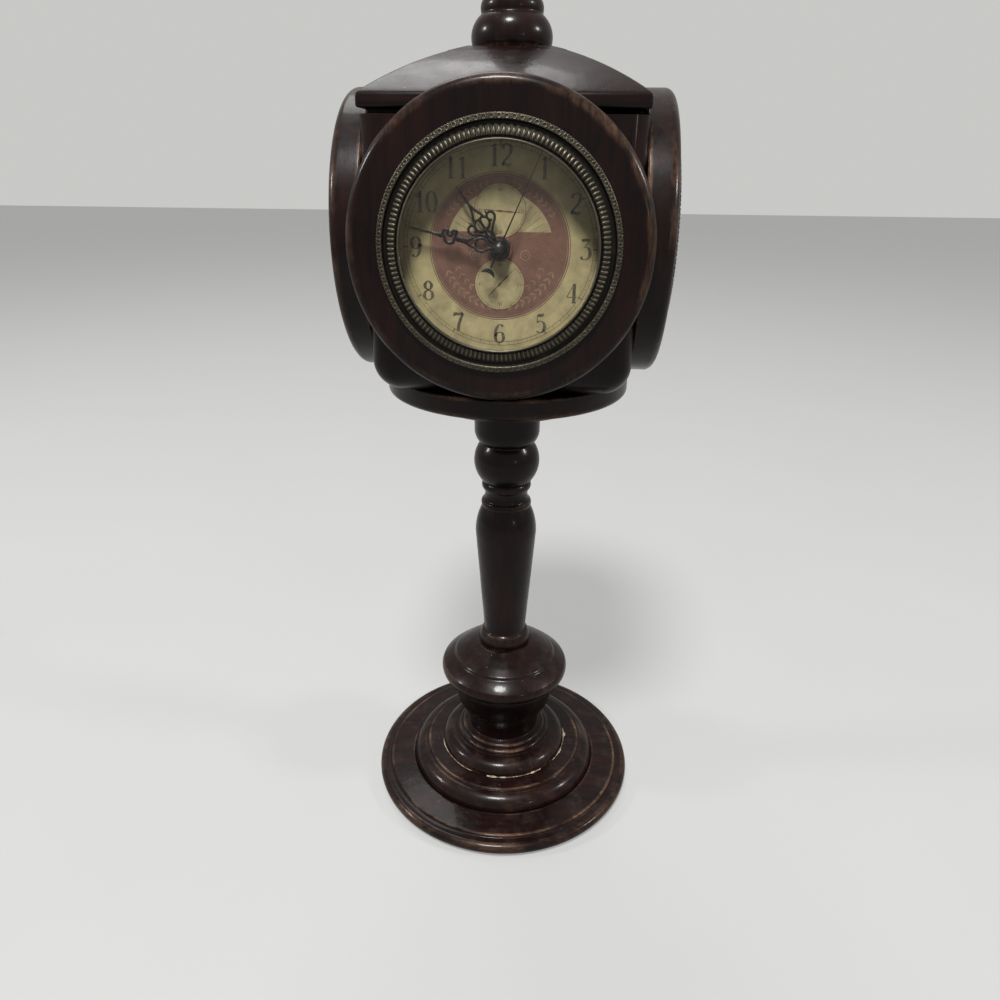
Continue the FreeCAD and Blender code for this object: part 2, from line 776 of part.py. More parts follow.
def build_case():
    """Square case, bored through both ways, with a rounded foot."""
    body = new_body("head_case")
    sketch = new_sketch(body, "XY_Plane")
    draw(sketch, rounded_square(case_half_width, size.case_corner_radius))
    block = pad(body, sketch, case_height)
    doc.recompute()
    faces = block.Shape.Faces
    foot = min(range(len(faces)), key=lambda index: faces[index].CenterOfMass.z)
    fillet = body.newObject("PartDesign::Fillet", "head_case_foot")
    fillet.Base = (block, [f"Face{foot + 1}"])
    bind(fillet, "Radius", size.case_foot_radius)
    body.Tip = fillet
    for plane in ("XZ_Plane", "YZ_Plane"):
        bore = new_sketch(body, plane)
        draw_circle(bore, size.bore_radius, y=dial_rise)
        pocket(body, bore)
    room = new_sketch(body, "XY_Plane")
    draw_circle(room, size.nut_room_radius)
    pocket(body, room, dial_rise, backward=True)
    plug = new_sketch(body, "XY_Plane", case_height)
    draw_circle(plug, size.roof_plug_radius)
    pocket(body, plug, case_height - dial_rise)
    screw_holes(body, collar_screw, -size.collar_height, upward=-1)
    raise_to(body, case_floor)


def mitre_outline(mirror):
    """What is cut off the back of a board so that it meets the board of the next side."""
    low = -size.ring_thickness - size.overrun
    high = ring_radius + size.overrun - face_reach
    reach = face_reach - size.glue_gap
    outer = ring_radius + size.overrun
    return [
        corner((reach + low) * mirror, low),
        corner(outer * mirror, low),
        corner(outer * mirror, high),
        corner((reach + high) * mirror, high),
    ]


def build_rings():
    """The four round boards, each with the bore for its dial and mitred to its neighbours."""
    front = size.ring_edge_radius
    back = size.ring_back_radius
    outline = [
        corner(size.bore_radius, -size.ring_thickness),
        corner(ring_radius - back, -size.ring_thickness, QUARTER_SHARE),
        corner(ring_radius, back - size.ring_thickness),
        corner(ring_radius, -front, QUARTER_SHARE),
        corner(ring_radius - front, NIL),
        corner(size.bore_radius, NIL),
    ]
    for side, name in zip(SIDES, RING_NAMES):
        body = turned(name, outline)
        for mirror in (1, -1):
            mitre = new_sketch(body)
            draw(mitre, mitre_outline(mirror))
            pocket(body, mitre)
        face_out(body, side)


def roof_profile(mirror):
    """Half the roof's outline, from its seat up to the finial's seat, in the order of drawing."""
    eave = case_half_width - size.roof_inset
    neck = eave - size.roof_shadow_depth
    low = size.roof_shadow_height
    high = low + size.eave_height
    seat = size.roof_top_half_width
    half = [(neck, NIL), (neck, low), (eave, low), (eave, high), (seat, roof_height)]
    return [(across * mirror, up) for across, up in half]


def roof_outline():
    """The whole outline of the roof across the clock."""
    *right, right_edge, right_seat = roof_profile(1)
    *left, left_edge, left_seat = roof_profile(-1)
    outline = [corner(*place) for place in right]
    outline += [corner(*right_edge, ROOF_BULGE_SHARE), corner(*right_seat)]
    outline += [corner(*left_seat, ROOF_BULGE_SHARE), corner(*left_edge)]
    return outline + [corner(*place) for place in reversed(left)]


def roof_waste(mirror):
    """What is cut off one side of the roof: above its curve and under its eave."""
    neck, under, _, edge, seat = roof_profile(mirror)
    past = (case_half_width + size.overrun) * mirror
    above = roof_height + size.overrun
    below = -size.overrun
    over_curve = [
        corner(*edge, ROOF_BULGE_SHARE * mirror),
        corner(*seat),
        corner(seat[0], above),
        corner(past, above),
        corner(past, edge[1]),
    ]
    under_eave = [
        corner(neck[0], below),
        corner(*under),
        corner(past, under[1]),
        corner(past, below),
    ]
    return over_curve, under_eave


def build_roof():
    """Convex four-sided roof with an eave, a plug below and the finial's dowel hole."""
    body = new_body("roof_cap")
    sketch = new_sketch(body)
    draw(sketch, roof_outline())
    block = pad(body, sketch, (case_half_width - size.roof_inset) * 2)
    block.SideType = "Symmetric"
    for mirror in (1, -1):
        for outline in roof_waste(mirror):
            waste = new_sketch(body, "YZ_Plane")
            draw(waste, outline)
            pocket(body, waste)
    plug = new_sketch(body, "XY_Plane")
    draw_circle(plug, size.roof_plug_radius - size.glue_gap)
    pad(body, plug, size.roof_plug_depth, backward=True)
    socket = new_sketch(body, "XY_Plane", roof_height)
    draw_circle(socket, size.finial_dowel_radius + size.glue_gap)
    pocket(body, socket, size.finial_dowel_length / 2 + size.glue_gap)
    raise_to(body, roof_floor)


def build_finial():
    """Turned finial and the dowel that holds it."""
    socket = size.finial_dowel_radius + size.glue_gap
    roof = size.finial_dowel_length / 2 + size.glue_gap
    tip = size.finial_radius * FINIAL_TIP_SHARE
    turned(
        "finial",
        [corner(socket, NIL)]
        + shared_outline(FINIAL_SHARES, size.finial_radius, size.finial_height)
        + [corner(tip, size.finial_height - tip, QUARTER_SHARE), corner(NIL, size.finial_height)]
        + [corner(NIL, roof), corner(socket, roof)],
        finial_floor,
    )
    floor = finial_floor - size.finial_dowel_length / 2
    turned("finial_dowel", dowel_outline(size.finial_dowel_radius, size.finial_dowel_length), floor)


# Push-in dials: pieces are drawn with Z pointing out of the dial and the board's face at zero


def solid_of_turn(outline):
    """Turn an outline about Z with the sizes as they are now."""
    ends = outline[1:] + outline[:1]
    edges = []
    for start, end in zip(outline, ends):
        if start[2]:
            arc = Part.Arc(point_of(start), bulge_point(start, end, start[2]), point_of(end))
            edges.append(arc.toShape())
        else:
            edges.append(Part.makeLine(point_of(start), point_of(end)))
    face = Part.Face(Part.Wire(edges))
    face.rotate(Vector(), Vector(1, 0, 0), 90)
    return face.revolve(Vector(), Vector(0, 0, 1), 360)


def star_wire(radius, depth, height, count):
    """A toothed outline: ribs at the radius, furrows inside it."""
    corners = []
    for step in range(2 * count):
        reach = radius - depth * (step % 2)
        angle = math.pi * step / count
        corners.append(Vector(reach * math.cos(angle), reach * math.sin(angle), height))
    return Part.makePolygon(corners + corners[:1])


def bezel_shape():
    """Bezel: a turned flange and lip with a crown of sloping ribs between them."""
    span = bezel_radius - lip_bore
    front = [corner(lip_bore + span * r, size.bezel_height * z, b) for r, z, b in BEZEL_SHARES]
    seat = size.bezel_height * LENS_SEAT_SHARE
    skirt = lens_bore + size.bezel_skirt_wall
    inside = [
        corner(lens_bore, seat),
        corner(lens_bore, -size.bezel_skirt_depth),
        corner(skirt, -size.bezel_skirt_depth),
        corner(skirt, NIL),
    ]
    body = solid_of_turn(front + inside)
    count = int(size.rib_count.value)
    wires = []
    for across, up in (RIB_FOOT_SHARES, RIB_TOP_SHARES):
        radius = (lip_bore + span * across).value
        depth = size.rib_depth.value * radius / bezel_radius.value
        wires.append(star_wire(radius, depth, (size.bezel_height * up).value, count))
    crown = Part.makeLoft(wires, True, True)
    hollow = (lip_bore + span * CROWN_BORE_SHARE).value
    core = Part.makeCylinder(hollow, size.bezel_height.value * 2)
    return body.fuse(crown.cut(core)).removeSplitter()


def build_bezels():
    """One bezel for each side."""
    shape = bezel_shape()
    for side in SIDES:
        face_out(add_feature(f"{side}_bezel", shape), side)


def build_lens(side):
    """Flat glass behind the bezel's lip."""
    seat = size.bezel_height * LENS_SEAT_SHARE
    outline = box_outline(NIL, lens_bore - size.glue_gap, seat - size.lens_thickness, seat)
    face_out(turned(f"{side}_lens", outline), side)


def build_can(side):
    """Can with a ledge for the dial and an open back, and the rubber band round it."""
    mouth = can_bore - size.can_lip
    ledge = can_bore - size.can_ledge
    below = dial_back - size.can_wall
    outline = [
        corner(can_radius, NIL),
        corner(can_bore, NIL),
        corner(can_bore, dial_back),
        corner(ledge, dial_back),
        corner(ledge, below),
        corner(can_bore, below),
        corner(can_bore, size.can_wall - size.can_depth),
        corner(mouth, size.can_wall - size.can_depth),
        corner(mouth, -size.can_depth),
        corner(can_radius, -size.can_depth),
    ]
    face_out(turned(f"{side}_can", outline), side)
    root = can_radius + size.glue_gap
    tip = size.bore_radius - size.running_gap
    middle = (root + tip) / 2
    start = -size.band_setback
    band = [corner(root, start), corner(middle, start)]
    for first, last in zip(BAND_LIP_SHARES[::2], BAND_LIP_SHARES[1::2]):
        peak = (first + last) / 2
        band.append(corner(middle, start - size.band_width * first))
        band.append(corner(tip, start - size.band_width * peak))
        band.append(corner(middle, start - size.band_width * last))
    band += [corner(middle, start - size.band_width), corner(root, start - size.band_width)]
    face_out(turned(f"{side}_band", band), side)


def build_dial(side, bore):
    """Dial plate on the can's ledge."""
    body = turned(f"{side}_dial", box_outline(bore, can_bore - size.glue_gap, dial_back, dial_face))
    face_out(body, side)
    return body


def cut_moon_window(body):
    """Arched window with two humps, over the turning moon disc."""
    inner = moon_disc_radius * MOON_WINDOW_SHARES[0]
    outer = moon_disc_radius * MOON_WINDOW_SHARES[1]
    half = math.radians(MOON_WINDOW_ANGLE)
    sine, cosine = math.sin(half), math.cos(half)
    arch = math.tan(half / 2)
    sketch = new_sketch(body, "XY_Plane", dial_face)
    outline = [
        corner(outer * sine, outer * cosine, arch),
        corner(outer * -sine, outer * cosine, -1),
        corner(inner * -sine, inner * cosine, -arch),
        corner(inner * sine, inner * cosine, -1),
    ]
    draw(sketch, outline)
    pocket(body, sketch, size.dial_thickness)


def build_movement(side, front):
    """Square quartz movement with bush, battery bay and the seat of the setting knob."""
    body = new_body(f"{side}_movement")
    back = front - size.movement_thickness
    sketch = new_sketch(body, "XY_Plane", back)
    draw(sketch, rounded_square(movement_half_width, size.movement_corner_radius))
    pad(body, sketch, size.movement_thickness)
    bush = new_sketch(body, "XY_Plane", front)
    draw_circle(bush, size.bush_radius)
    pad(body, bush, dial_back + size.bush_length - front)
    bore = new_sketch(body, "XY_Plane", dial_back + size.bush_length)
    draw_circle(bore, pipe_of(side) + size.running_gap)
    pocket(body, bore, size.arbor_depth + size.moving_gap)
    bay = new_sketch(body, "XY_Plane", back)
    reach = battery_half_length + size.battery_nub_height + size.moving_gap
    depth = size.battery_radius + size.moving_gap
    draw(bay, box_outline(-reach, reach, battery_height - depth, battery_height + depth))
    pocket(body, bay, size.battery_radius * 2 + size.moving_gap, backward=True)
    seat = new_sketch(body, "XY_Plane", back)
    draw_circle(seat, size.knob_spindle_radius + size.running_gap, y=size.knob_rise)
    pocket(body, seat, size.knob_spindle_depth + size.moving_gap, backward=True)
    face_out(body, side)
    build_battery(side, back)
    build_knob(side, back)


def pipe_of(side):
    """Radius of the outermost pipe in the bush."""
    return size.pipe_radius if side == "clock" else size.arbor_radius


def build_battery(side, back):
    """Battery lying in its bay."""
    body = new_body(f"{side}_battery")
    half = battery_half_length
    edge = size.dowel_chamfer
    middle = battery_height
    outline = [
        corner(-half, middle),
        corner(-half, middle + size.battery_radius - edge),
        corner(edge - half, middle + size.battery_radius),
        corner(half - edge, middle + size.battery_radius),
        corner(half, middle + size.battery_radius - edge),
        corner(half, middle + size.battery_nub_radius),
        corner(half + size.battery_nub_height, middle + size.battery_nub_radius),
        corner(half + size.battery_nub_height, middle),
    ]
    sketch = new_sketch(body, "XY_Plane", back + size.battery_radius)
    turn_about(body, sketch, outline, outline[0], outline[-1])
    face_out(body, side)


def build_knob(side, back):
    """Setting knob on its spindle, behind the movement."""
    top = back - size.moving_gap
    grip = size.knob_height * GRIP_SHARE
    body = turned(
        f"{side}_knob",
        [
            corner(NIL, top - size.knob_height),
            corner(size.knob_radius - size.dowel_chamfer, top - size.knob_height),
            corner(size.knob_radius, top - size.knob_height + size.dowel_chamfer),
            corner(size.knob_radius, top - size.knob_height + grip),
            corner(size.knob_radius * GRIP_SHARE, top),
            corner(size.knob_spindle_radius, top),
            corner(size.knob_spindle_radius, back + size.knob_spindle_depth),
            corner(NIL, back + size.knob_spindle_depth),
        ],
    )
    face_out(body, side, up=size.knob_rise)


def mirrored_outline(half):
    """A closed outline from its right half, listed from the bottom up."""
    return [corner(x, y) for x, y in half] + [corner(-x, y) for x, y in reversed(half)]


def hand_outline(shares, length):
    """A needle from shares of the hand's length."""
    return mirrored_outline([(length * across, length * along) for across, along in shares])


def add_scroll(body, floor, length, place, mirror=1):
    """One open scroll of a pierced hand."""
    across, along, radius = place
    sketch = new_sketch(body, "XY_Plane", floor)
    x = length * (across * mirror) if across else NIL
    draw_circle(sketch, length * radius, x, length * along)
    draw_circle(sketch, length * radius - size.hand_wire, x, length * along)
    pad(body, sketch, size.hand_thickness)


def add_plate(body, floor, outline):
    """One flat stretch of a hand."""
    sketch = new_sketch(body, "XY_Plane", floor)
    draw(sketch, outline)
    pad(body, sketch, size.hand_thickness)


def add_hub(body, floor, hub, outer, bore, foot):
    """Hub disc of a hand with its pipe or arbor going down into the bush."""
    outline = [
        corner(bore, foot),
        corner(outer, foot),
        corner(outer, floor),
        corner(hub, floor),
        corner(hub, floor + size.hand_thickness),
        corner(bore, floor + size.hand_thickness),
    ]
    revolve(body, outline)


def build_hour_hand():
    """Pierced hour hand on its pipe."""
    body = new_body("hour_hand")
    floor = dial_face + size.hour_hand_rise
    foot = dial_back + size.bush_length - size.arbor_depth
    add_hub(body, floor, size.hand_hub_radius, size.pipe_radius, size.arbor_radius + size.running_gap, foot)
    length = lip_bore - size.hour_hand_gap
    for mirror in (1, -1):
        for place in HOUR_SCROLL_SHARES:
            add_scroll(body, floor, length, place, mirror)
        horn = [corner(length * (across * mirror), length * along) for across, along in HORN_SHARES]
        add_plate(body, floor, horn)
    add_plate(body, floor, hand_outline(HOUR_SPINE_SHARES, length))
    bore_again(body, floor, size.arbor_radius + size.running_gap)
    face_out(body, "clock", HOUR_HAND_ANGLE)


def build_minute_hand():
    """Pierced minute hand on its arbor."""
    body = new_body("minute_hand")
    floor = dial_face + size.minute_hand_rise
    foot = dial_back + size.bush_length - size.arbor_depth
    add_hub(body, floor, size.hand_hub_radius, size.arbor_radius, size.pin_radius + size.running_gap, foot)
    length = lip_bore - size.minute_hand_gap
    for mirror in (1, -1):
        for place in MINUTE_SCROLL_SHARES:
            add_scroll(body, floor, length, place, mirror)
    add_scroll(body, floor, length, MINUTE_LOOP_SHARES)
    add_plate(body, floor, hand_outline(MINUTE_SPINE_SHARES, length))
    add_plate(body, floor, hand_outline(MINUTE_TIP_SHARES, length))
    bore_again(body, floor, size.pin_radius + size.running_gap)
    face_out(body, "clock", MINUTE_HAND_ANGLE)


def bore_again(body, floor, radius):
    """Clear the bore of a hub after its hand is laid across it."""
    sketch = new_sketch(body, "XY_Plane", floor + size.hand_thickness)
    draw_circle(sketch, radius)
    pocket(body, sketch, size.hand_thickness)


def build_second_hand():
    """Thin second hand with a domed cap, a pin and a crescent on its tail."""
    body = new_body("second_hand")
    floor = dial_face + size.second_hand_rise
    foot = dial_back + size.bush_length - size.arbor_depth
    cap = size.hub_cap_radius
    outline = [
        corner(NIL, foot),
        corner(size.pin_radius, foot),
        corner(size.pin_radius, floor),
        corner(cap, floor),
        corner(cap, floor + size.hand_thickness, CAP_BULGE_SHARE),
        corner(NIL, floor + size.hand_thickness + cap * CAP_SHARE),
    ]
    revolve(body, outline)
    half = size.second_hand_width / 2
    stem = size.second_tail_length * TAIL_STEM_SHARE
    needle = [(half, -stem), (half, NIL), (half * TIP_SHARE, lip_bore - size.second_hand_gap)]
    add_plate(body, floor, mirrored_outline(needle))
    horn = size.second_tail_length * CRESCENT_SHARE
    tips = -size.second_tail_length
    crescent = [corner(-horn, tips, CRESCENT_HOLLOW_SHARE), corner(horn, tips, CRESCENT_BACK_SHARE)]
    add_plate(body, floor, crescent)
    face_out(body, "clock", SECOND_HAND_ANGLE)


def build_moon_works():
    """Moon disc on the bush and the hand that shows the moon's age."""
    disc = new_body("moon_disc")
    top = dial_back - size.moving_gap
    bore = size.bush_radius + size.running_gap
    revolve(disc, box_outline(bore, moon_disc_radius, top - size.moon_disc_thickness, top))
    moons = new_sketch(disc, "XY_Plane", top)
    near, far = (moon_disc_radius * share for share in MOON_WINDOW_SHARES)
    circle = (near + far) / 2
    for mirror in (1, -1):
        draw_circle(moons, (far - near) / 2 - size.moon_margin, y=circle * mirror)
    pad(disc, moons, size.moon_relief)
    face_out(disc, "moon", MOON_DISC_ANGLE)
    hand = new_body("moon_hand")
    floor = dial_face + size.hour_hand_rise
    foot = dial_back + size.bush_length - size.arbor_depth
    outline = [
        corner(NIL, foot),
        corner(size.arbor_radius, foot),
        corner(size.arbor_radius, floor),
        corner(size.hand_hub_radius, floor),
        corner(size.hand_hub_radius, floor + size.hand_thickness),
        corner(size.arbor_radius, floor + size.hand_thickness * 2),
        corner(NIL, floor + size.hand_thickness * 2),
    ]
    revolve(hand, outline)
    add_plate(hand, floor, hand_outline(MOON_HAND_SHARES, lip_bore - size.moon_hand_gap))
    face_out(hand, "moon", MOON_HAND_ANGLE)


def build_pointer(side, angle):
    """Weather pointer on its staff, with the collet that the coil drives."""
    body = new_body(f"{side}_pointer")
    floor = dial_face + size.hour_hand_rise
    foot = dial_back - size.staff_depth
    collet = dial_back - size.coil_setback
    outline = [
        corner(NIL, foot),
        corner(size.staff_radius, foot),
        corner(size.staff_radius, collet - size.coil_width),
        corner(size.collet_radius, collet - size.coil_width),
        corner(size.collet_radius, collet),
        corner(size.staff_radius, collet),
        corner(size.staff_radius, floor),
        corner(size.hub_cap_radius, floor),
        corner(size.hub_cap_radius, floor + size.hand_thickness, CAP_BULGE_SHARE),
        corner(NIL, floor + size.hand_thickness + size.hub_cap_radius * CAP_SHARE),
    ]
    revolve(body, outline)
    half = size.pointer_width / 2
    length = lip_bore - size.pointer_gap
    needle = [(half * 2, -size.pointer_tail_length), (half, NIL), (half * TIP_SHARE, length)]
    add_plate(body, floor, mirrored_outline(needle))
    face_out(body, side, angle)


def build_coil(side):
    """Flat spiral strip of half-turn arcs, with the post that holds its outer end to the dial."""
    thick = size.coil_strip.value / 2
    step = size.coil_step.value
    inner, outer = [], []
    for index in range(COIL_HALF_TURN_COUNT):
        radius = size.coil_gap_radius.value + step * index
        centre = Vector(step * (index % 2), 0, 0)
        rise = 1 if index % 2 == 0 else -1
        for edges, offset in ((inner, -thick), (outer, thick)):
            reach = radius + offset
            ends = [centre + Vector(reach * rise, 0, 0), centre + Vector(-reach * rise, 0, 0)]
            middle = centre + Vector(0, reach * rise, 0)
            edges.append(Part.Arc(ends[0], middle, ends[1]).toShape())
    caps = [
        Part.makeLine(inner[0].Vertexes[0].Point, outer[0].Vertexes[0].Point),
        Part.makeLine(inner[-1].Vertexes[-1].Point, outer[-1].Vertexes[-1].Point),
    ]
    wire = Part.Wire(Part.__sortEdges__(inner + outer + caps))
    strip = Part.Face(wire).extrude(Vector(0, 0, -size.coil_width.value))
    strip.translate(Vector(0, 0, (dial_back - size.coil_setback).value))
    half = size.coil_post_width.value / 2
    end = outer[-1].Vertexes[-1].Point
    tall = (size.coil_setback + size.coil_width).value
    start = Vector(end.x - size.coil_strip.value, -half, dial_back.value - tall)
    post = Part.makeBox(size.coil_post_width.value, 2 * half, tall, start)
    shape = strip.fuse(post).removeSplitter()
    face_out(add_feature(f"{side}_coil", shape), side)


def build_dials():
    """The four push-in dials."""
    build_bezels()
    for side in SIDES:
        build_lens(side)
        build_can(side)
    build_dial("clock", size.bush_radius + size.glue_gap)
    build_movement("clock", dial_back)
    bore = size.bush_radius + size.glue_gap
    nut = hex_nut("clock_nut", size.clock_nut_half_width, size.clock_nut_height, bore)
    face_out(nut, "clock", out=dial_face)
    build_hour_hand()
    build_minute_hand()
    build_second_hand()
    cut_moon_window(build_dial("moon", size.bush_radius + size.glue_gap))
    build_movement("moon", moon_back)
    build_moon_works()
    for side, angle in (("temperature", TEMPERATURE_ANGLE), ("humidity", HUMIDITY_ANGLE)):
        build_dial(side, size.staff_radius + size.running_gap)
        build_pointer(side, angle)
        build_coil(side)


def check(items):
    """Stop on any object that failed or has no valid solid."""
    for item in doc.Objects:
        if "Invalid" in item.State or "Error" in item.State:
            raise RuntimeError(f"{item.Name} did not compute")
    for item in items:
        shape = item.Shape
        if shape.isNull() or not shape.isValid() or not shape.Solids:
            raise RuntimeError(f"{item.Label} has no valid solid")


def main():
    """Build every sub-part, check them and write their files."""
    for build in (build_base, build_urn, build_column, build_pivot, build_collar, build_case, build_rings):
        build()
    build_roof()
    build_finial()
    build_dials()
    doc.recompute()
    check(subparts)
    os.makedirs("parts", exist_ok=True)
    for item in subparts:
        item.Shape.exportStep(f"parts/{item.Label}.step")
    print(len(subparts), "sub-parts")


main()
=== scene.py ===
"""Finish of a four-sided revolving desk clock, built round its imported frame.

Pieces are made in metres in the frame's own places. Small details are named in millimetres and scaled by MM.
"""

import math

import bmesh
import bpy
from bpy.props import FloatProperty, FloatVectorProperty, IntProperty, PointerProperty
from bpy.types import Operator, Panel, PropertyGroup
from mathutils import Matrix, Vector


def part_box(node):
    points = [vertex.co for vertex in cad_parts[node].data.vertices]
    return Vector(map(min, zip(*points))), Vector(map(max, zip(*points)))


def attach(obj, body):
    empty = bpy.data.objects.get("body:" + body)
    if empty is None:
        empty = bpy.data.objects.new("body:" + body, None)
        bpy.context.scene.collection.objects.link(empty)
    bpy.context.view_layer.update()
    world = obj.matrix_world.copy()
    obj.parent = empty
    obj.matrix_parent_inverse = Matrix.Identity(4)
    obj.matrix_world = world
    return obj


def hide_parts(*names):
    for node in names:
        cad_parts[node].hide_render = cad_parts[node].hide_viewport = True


bl_info = {
    "name": "Revolving desk clock",
    "version": (1, 0, 0),
    "blender": (4, 5, 0),
    "location": "View3D > Sidebar > Clock",
    "description": "Makes the wood, metal, glass and printed dials of a four-sided desk clock",
    "category": "Object",
}

MM = 0.001
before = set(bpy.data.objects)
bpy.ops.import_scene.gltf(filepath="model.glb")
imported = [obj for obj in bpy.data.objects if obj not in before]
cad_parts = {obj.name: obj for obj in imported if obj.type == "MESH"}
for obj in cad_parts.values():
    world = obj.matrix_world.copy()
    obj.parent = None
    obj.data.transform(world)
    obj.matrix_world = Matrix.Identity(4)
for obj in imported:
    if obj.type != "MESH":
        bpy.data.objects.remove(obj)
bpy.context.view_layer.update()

# The four sides of the head in quarter turns from the front, and the boards that carry their dials
SIDES = {"clock": 0, "moon": 1, "humidity": 2, "temperature": 3}
BOARDS = {"clock": "ring_front", "moon": "ring_right", "humidity": "ring_back", "temperature": "ring_left"}

QUARTER_BULGE = math.tan(math.pi / 8)
UNMOVED = Matrix.Identity(4)

# Outlines of turned pieces from the bottom up, as in the solids: share of the radius, share of the height,
# bulge of the stretch that follows as a share of half its chord
FOOT_SHARES = [
    (0.966, 0.000, 1.00),
    (0.948, 0.355, 0.00),
    (0.914, 0.355, 0.00),
    (0.906, 0.430, 0.00),
    (0.722, 0.490, 0.00),
    (0.714, 0.450, 0.40),
    (0.622, 0.955, 0.00),
    (0.608, 0.945, 0.00),
    (0.604, 1.000, 0.00),
]
URN_SHARES = [
    (1.000, 0.000, 0.00),
    (1.000, 0.016, 0.44),
    (0.775, 0.105, 0.00),
    (0.735, 0.112, 0.45),
    (0.700, 0.142, 0.00),
    (0.665, 0.145, 0.45),
    (0.630, 0.175, 0.00),
    (0.560, 0.185, -0.16),
    (0.725, 0.437, 0.06),
    (0.825, 0.690, 0.00),
    (0.915, 0.700, 0.42),
    (0.962, 0.812, 0.06),
    (0.790, 0.880, 0.00),
    (0.768, 0.898, 0.05),
    (0.420, 1.000, 0.00),
]
COLUMN_SHARES = [
    (0.800, 0.000, 0.28),
    (0.750, 0.056, 0.00),
    (0.690, 0.061, 0.00),
    (0.977, 0.490, 0.12),
    (0.762, 0.595, 0.28),
    (0.762, 0.619, 0.00),
    (0.716, 0.623, -0.26),
    (0.716, 0.665, 0.00),
    (0.738, 0.666, 0.32),
    (0.738, 0.691, 0.00),
    (0.722, 0.693, 0.37),
    (0.824, 0.841, 0.00),
    (0.824, 0.844, 0.22),
    (0.994, 0.894, 0.00),
    (1.000, 1.000, 0.00),
]
COLLAR_SHARES = [
    (0.700, 0.000, 0.10),
    (0.965, 0.230, 0.36),
    (1.000, 0.420, 0.00),
    (1.000, 0.940, QUARTER_BULGE),
    (0.987, 1.000, 0.00),
]
FINIAL_SHARES = [
    (0.928, 0.000, 0.36),
    (0.755, 0.248, 0.00),
    (0.745, 0.262, 0.42),
    (0.520, 0.400, -0.30),
    (0.420, 0.470, 0.00),
    (0.500, 0.480, 0.50),
    (0.480, 0.530, 0.00),
    (0.330, 0.545, 0.16),
    (0.150, 0.875, 0.00),
    (0.190, 0.885, 0.00),
    (0.190, 0.936, QUARTER_BULGE),
    (0.000, 1.000, 0.00),
]
PLATE_SHARES = [
    (0.965, 0.000, 1.00),
    (0.965, 1.000, 0.00),
]


# Settings


def colour_setting(name, description, red, green, blue):
    """A setting for a colour."""
    return FloatVectorProperty(name=name, description=description, subtype="COLOR", size=4, min=0, max=1,
                               default=(red, green, blue, 1.0))


def length_setting(name, description, default):
    """A setting for a length in metres."""
    return FloatProperty(name=name, description=description, unit="LENGTH", default=default)


def angle_setting(name, description, default):
    """A setting for an angle in radians."""
    return FloatProperty(name=name, description=description, subtype="ANGLE", default=default)


class ClockWoodSettings(PropertyGroup):
    """Sizes and colours of the stained wood."""

    dark: colour_setting("Dark stain", "Deepest tone of the stain", 0.0050, 0.0026, 0.0025)
    red: colour_setting("Red stain", "Warm tone of the stain", 0.0185, 0.0058, 0.0044)
    worn: colour_setting("Worn wood", "Wood that shows where the stain is rubbed off", 0.150, 0.088, 0.052)
    dust: colour_setting("Dust", "Dust on upward faces", 0.26, 0.25, 0.23)
    glue: colour_setting("Glue", "Old glue in the seam of the urn", 0.46, 0.40, 0.27)
    edge_round: length_setting("Edge rounding", "How far a turned edge is eased", 0.55 * MM)
    wear_reach: length_setting("Wear reach", "How far wear spreads from an edge", 1.3 * MM)
    segments: IntProperty(name="Segments", description="Steps round a turned piece", default=192, min=32)
    glue_round: length_setting("Glue bead", "Thickness of the old glue line", 1.25 * MM)


class ClockMetalSettings(PropertyGroup):
    """Sizes and colours of the bezels, hands and inner metal."""

    patina: colour_setting("Patina", "Dark patina of the bronze", 0.010, 0.009, 0.007)
    bronze: colour_setting("Bronze", "Bronze on the worn tops", 0.138, 0.120, 0.086)
    rib_count: IntProperty(name="Ribs", description="Ribs round a bezel", default=144, min=12)
    rib_radius: length_setting("Rib circle", "Radius through the middle of the ribs", 42.75 * MM)
    rib_height: length_setting("Rib height", "Middle of the ribs above the board", 2.05 * MM)
    rib_size: FloatVectorProperty(
        name="Rib size", description="Half length, half width and half height of a rib", subtype="XYZ",
        size=3, default=(2.10 * MM, 0.80 * MM, 0.95 * MM))
    rib_tilt: angle_setting("Rib tilt", "Slope of the ribs", 0.40)
    eyelet_count: IntProperty(name="Eyelets", description="Eyelets round the lace ring", default=104, min=12)
    eyelet_radius: length_setting("Eyelet circle", "Radius through the eyelets", 47.65 * MM)
    eyelet_height: length_setting("Eyelet height", "Eyelets above the board", 1.85 * MM)
    eyelet_size: length_setting("Eyelet size", "Radius of one eyelet", 0.85 * MM)
    bead_count: IntProperty(name="Beads", description="Beads round the rim", default=248, min=12)
    bead_radius: length_setting("Bead circle", "Radius through the beads", 48.55 * MM)
    bead_height: length_setting("Bead height", "Beads above the board", 1.15 * MM)
    bead_size: length_setting("Bead size", "Radius of one bead", 0.48 * MM)


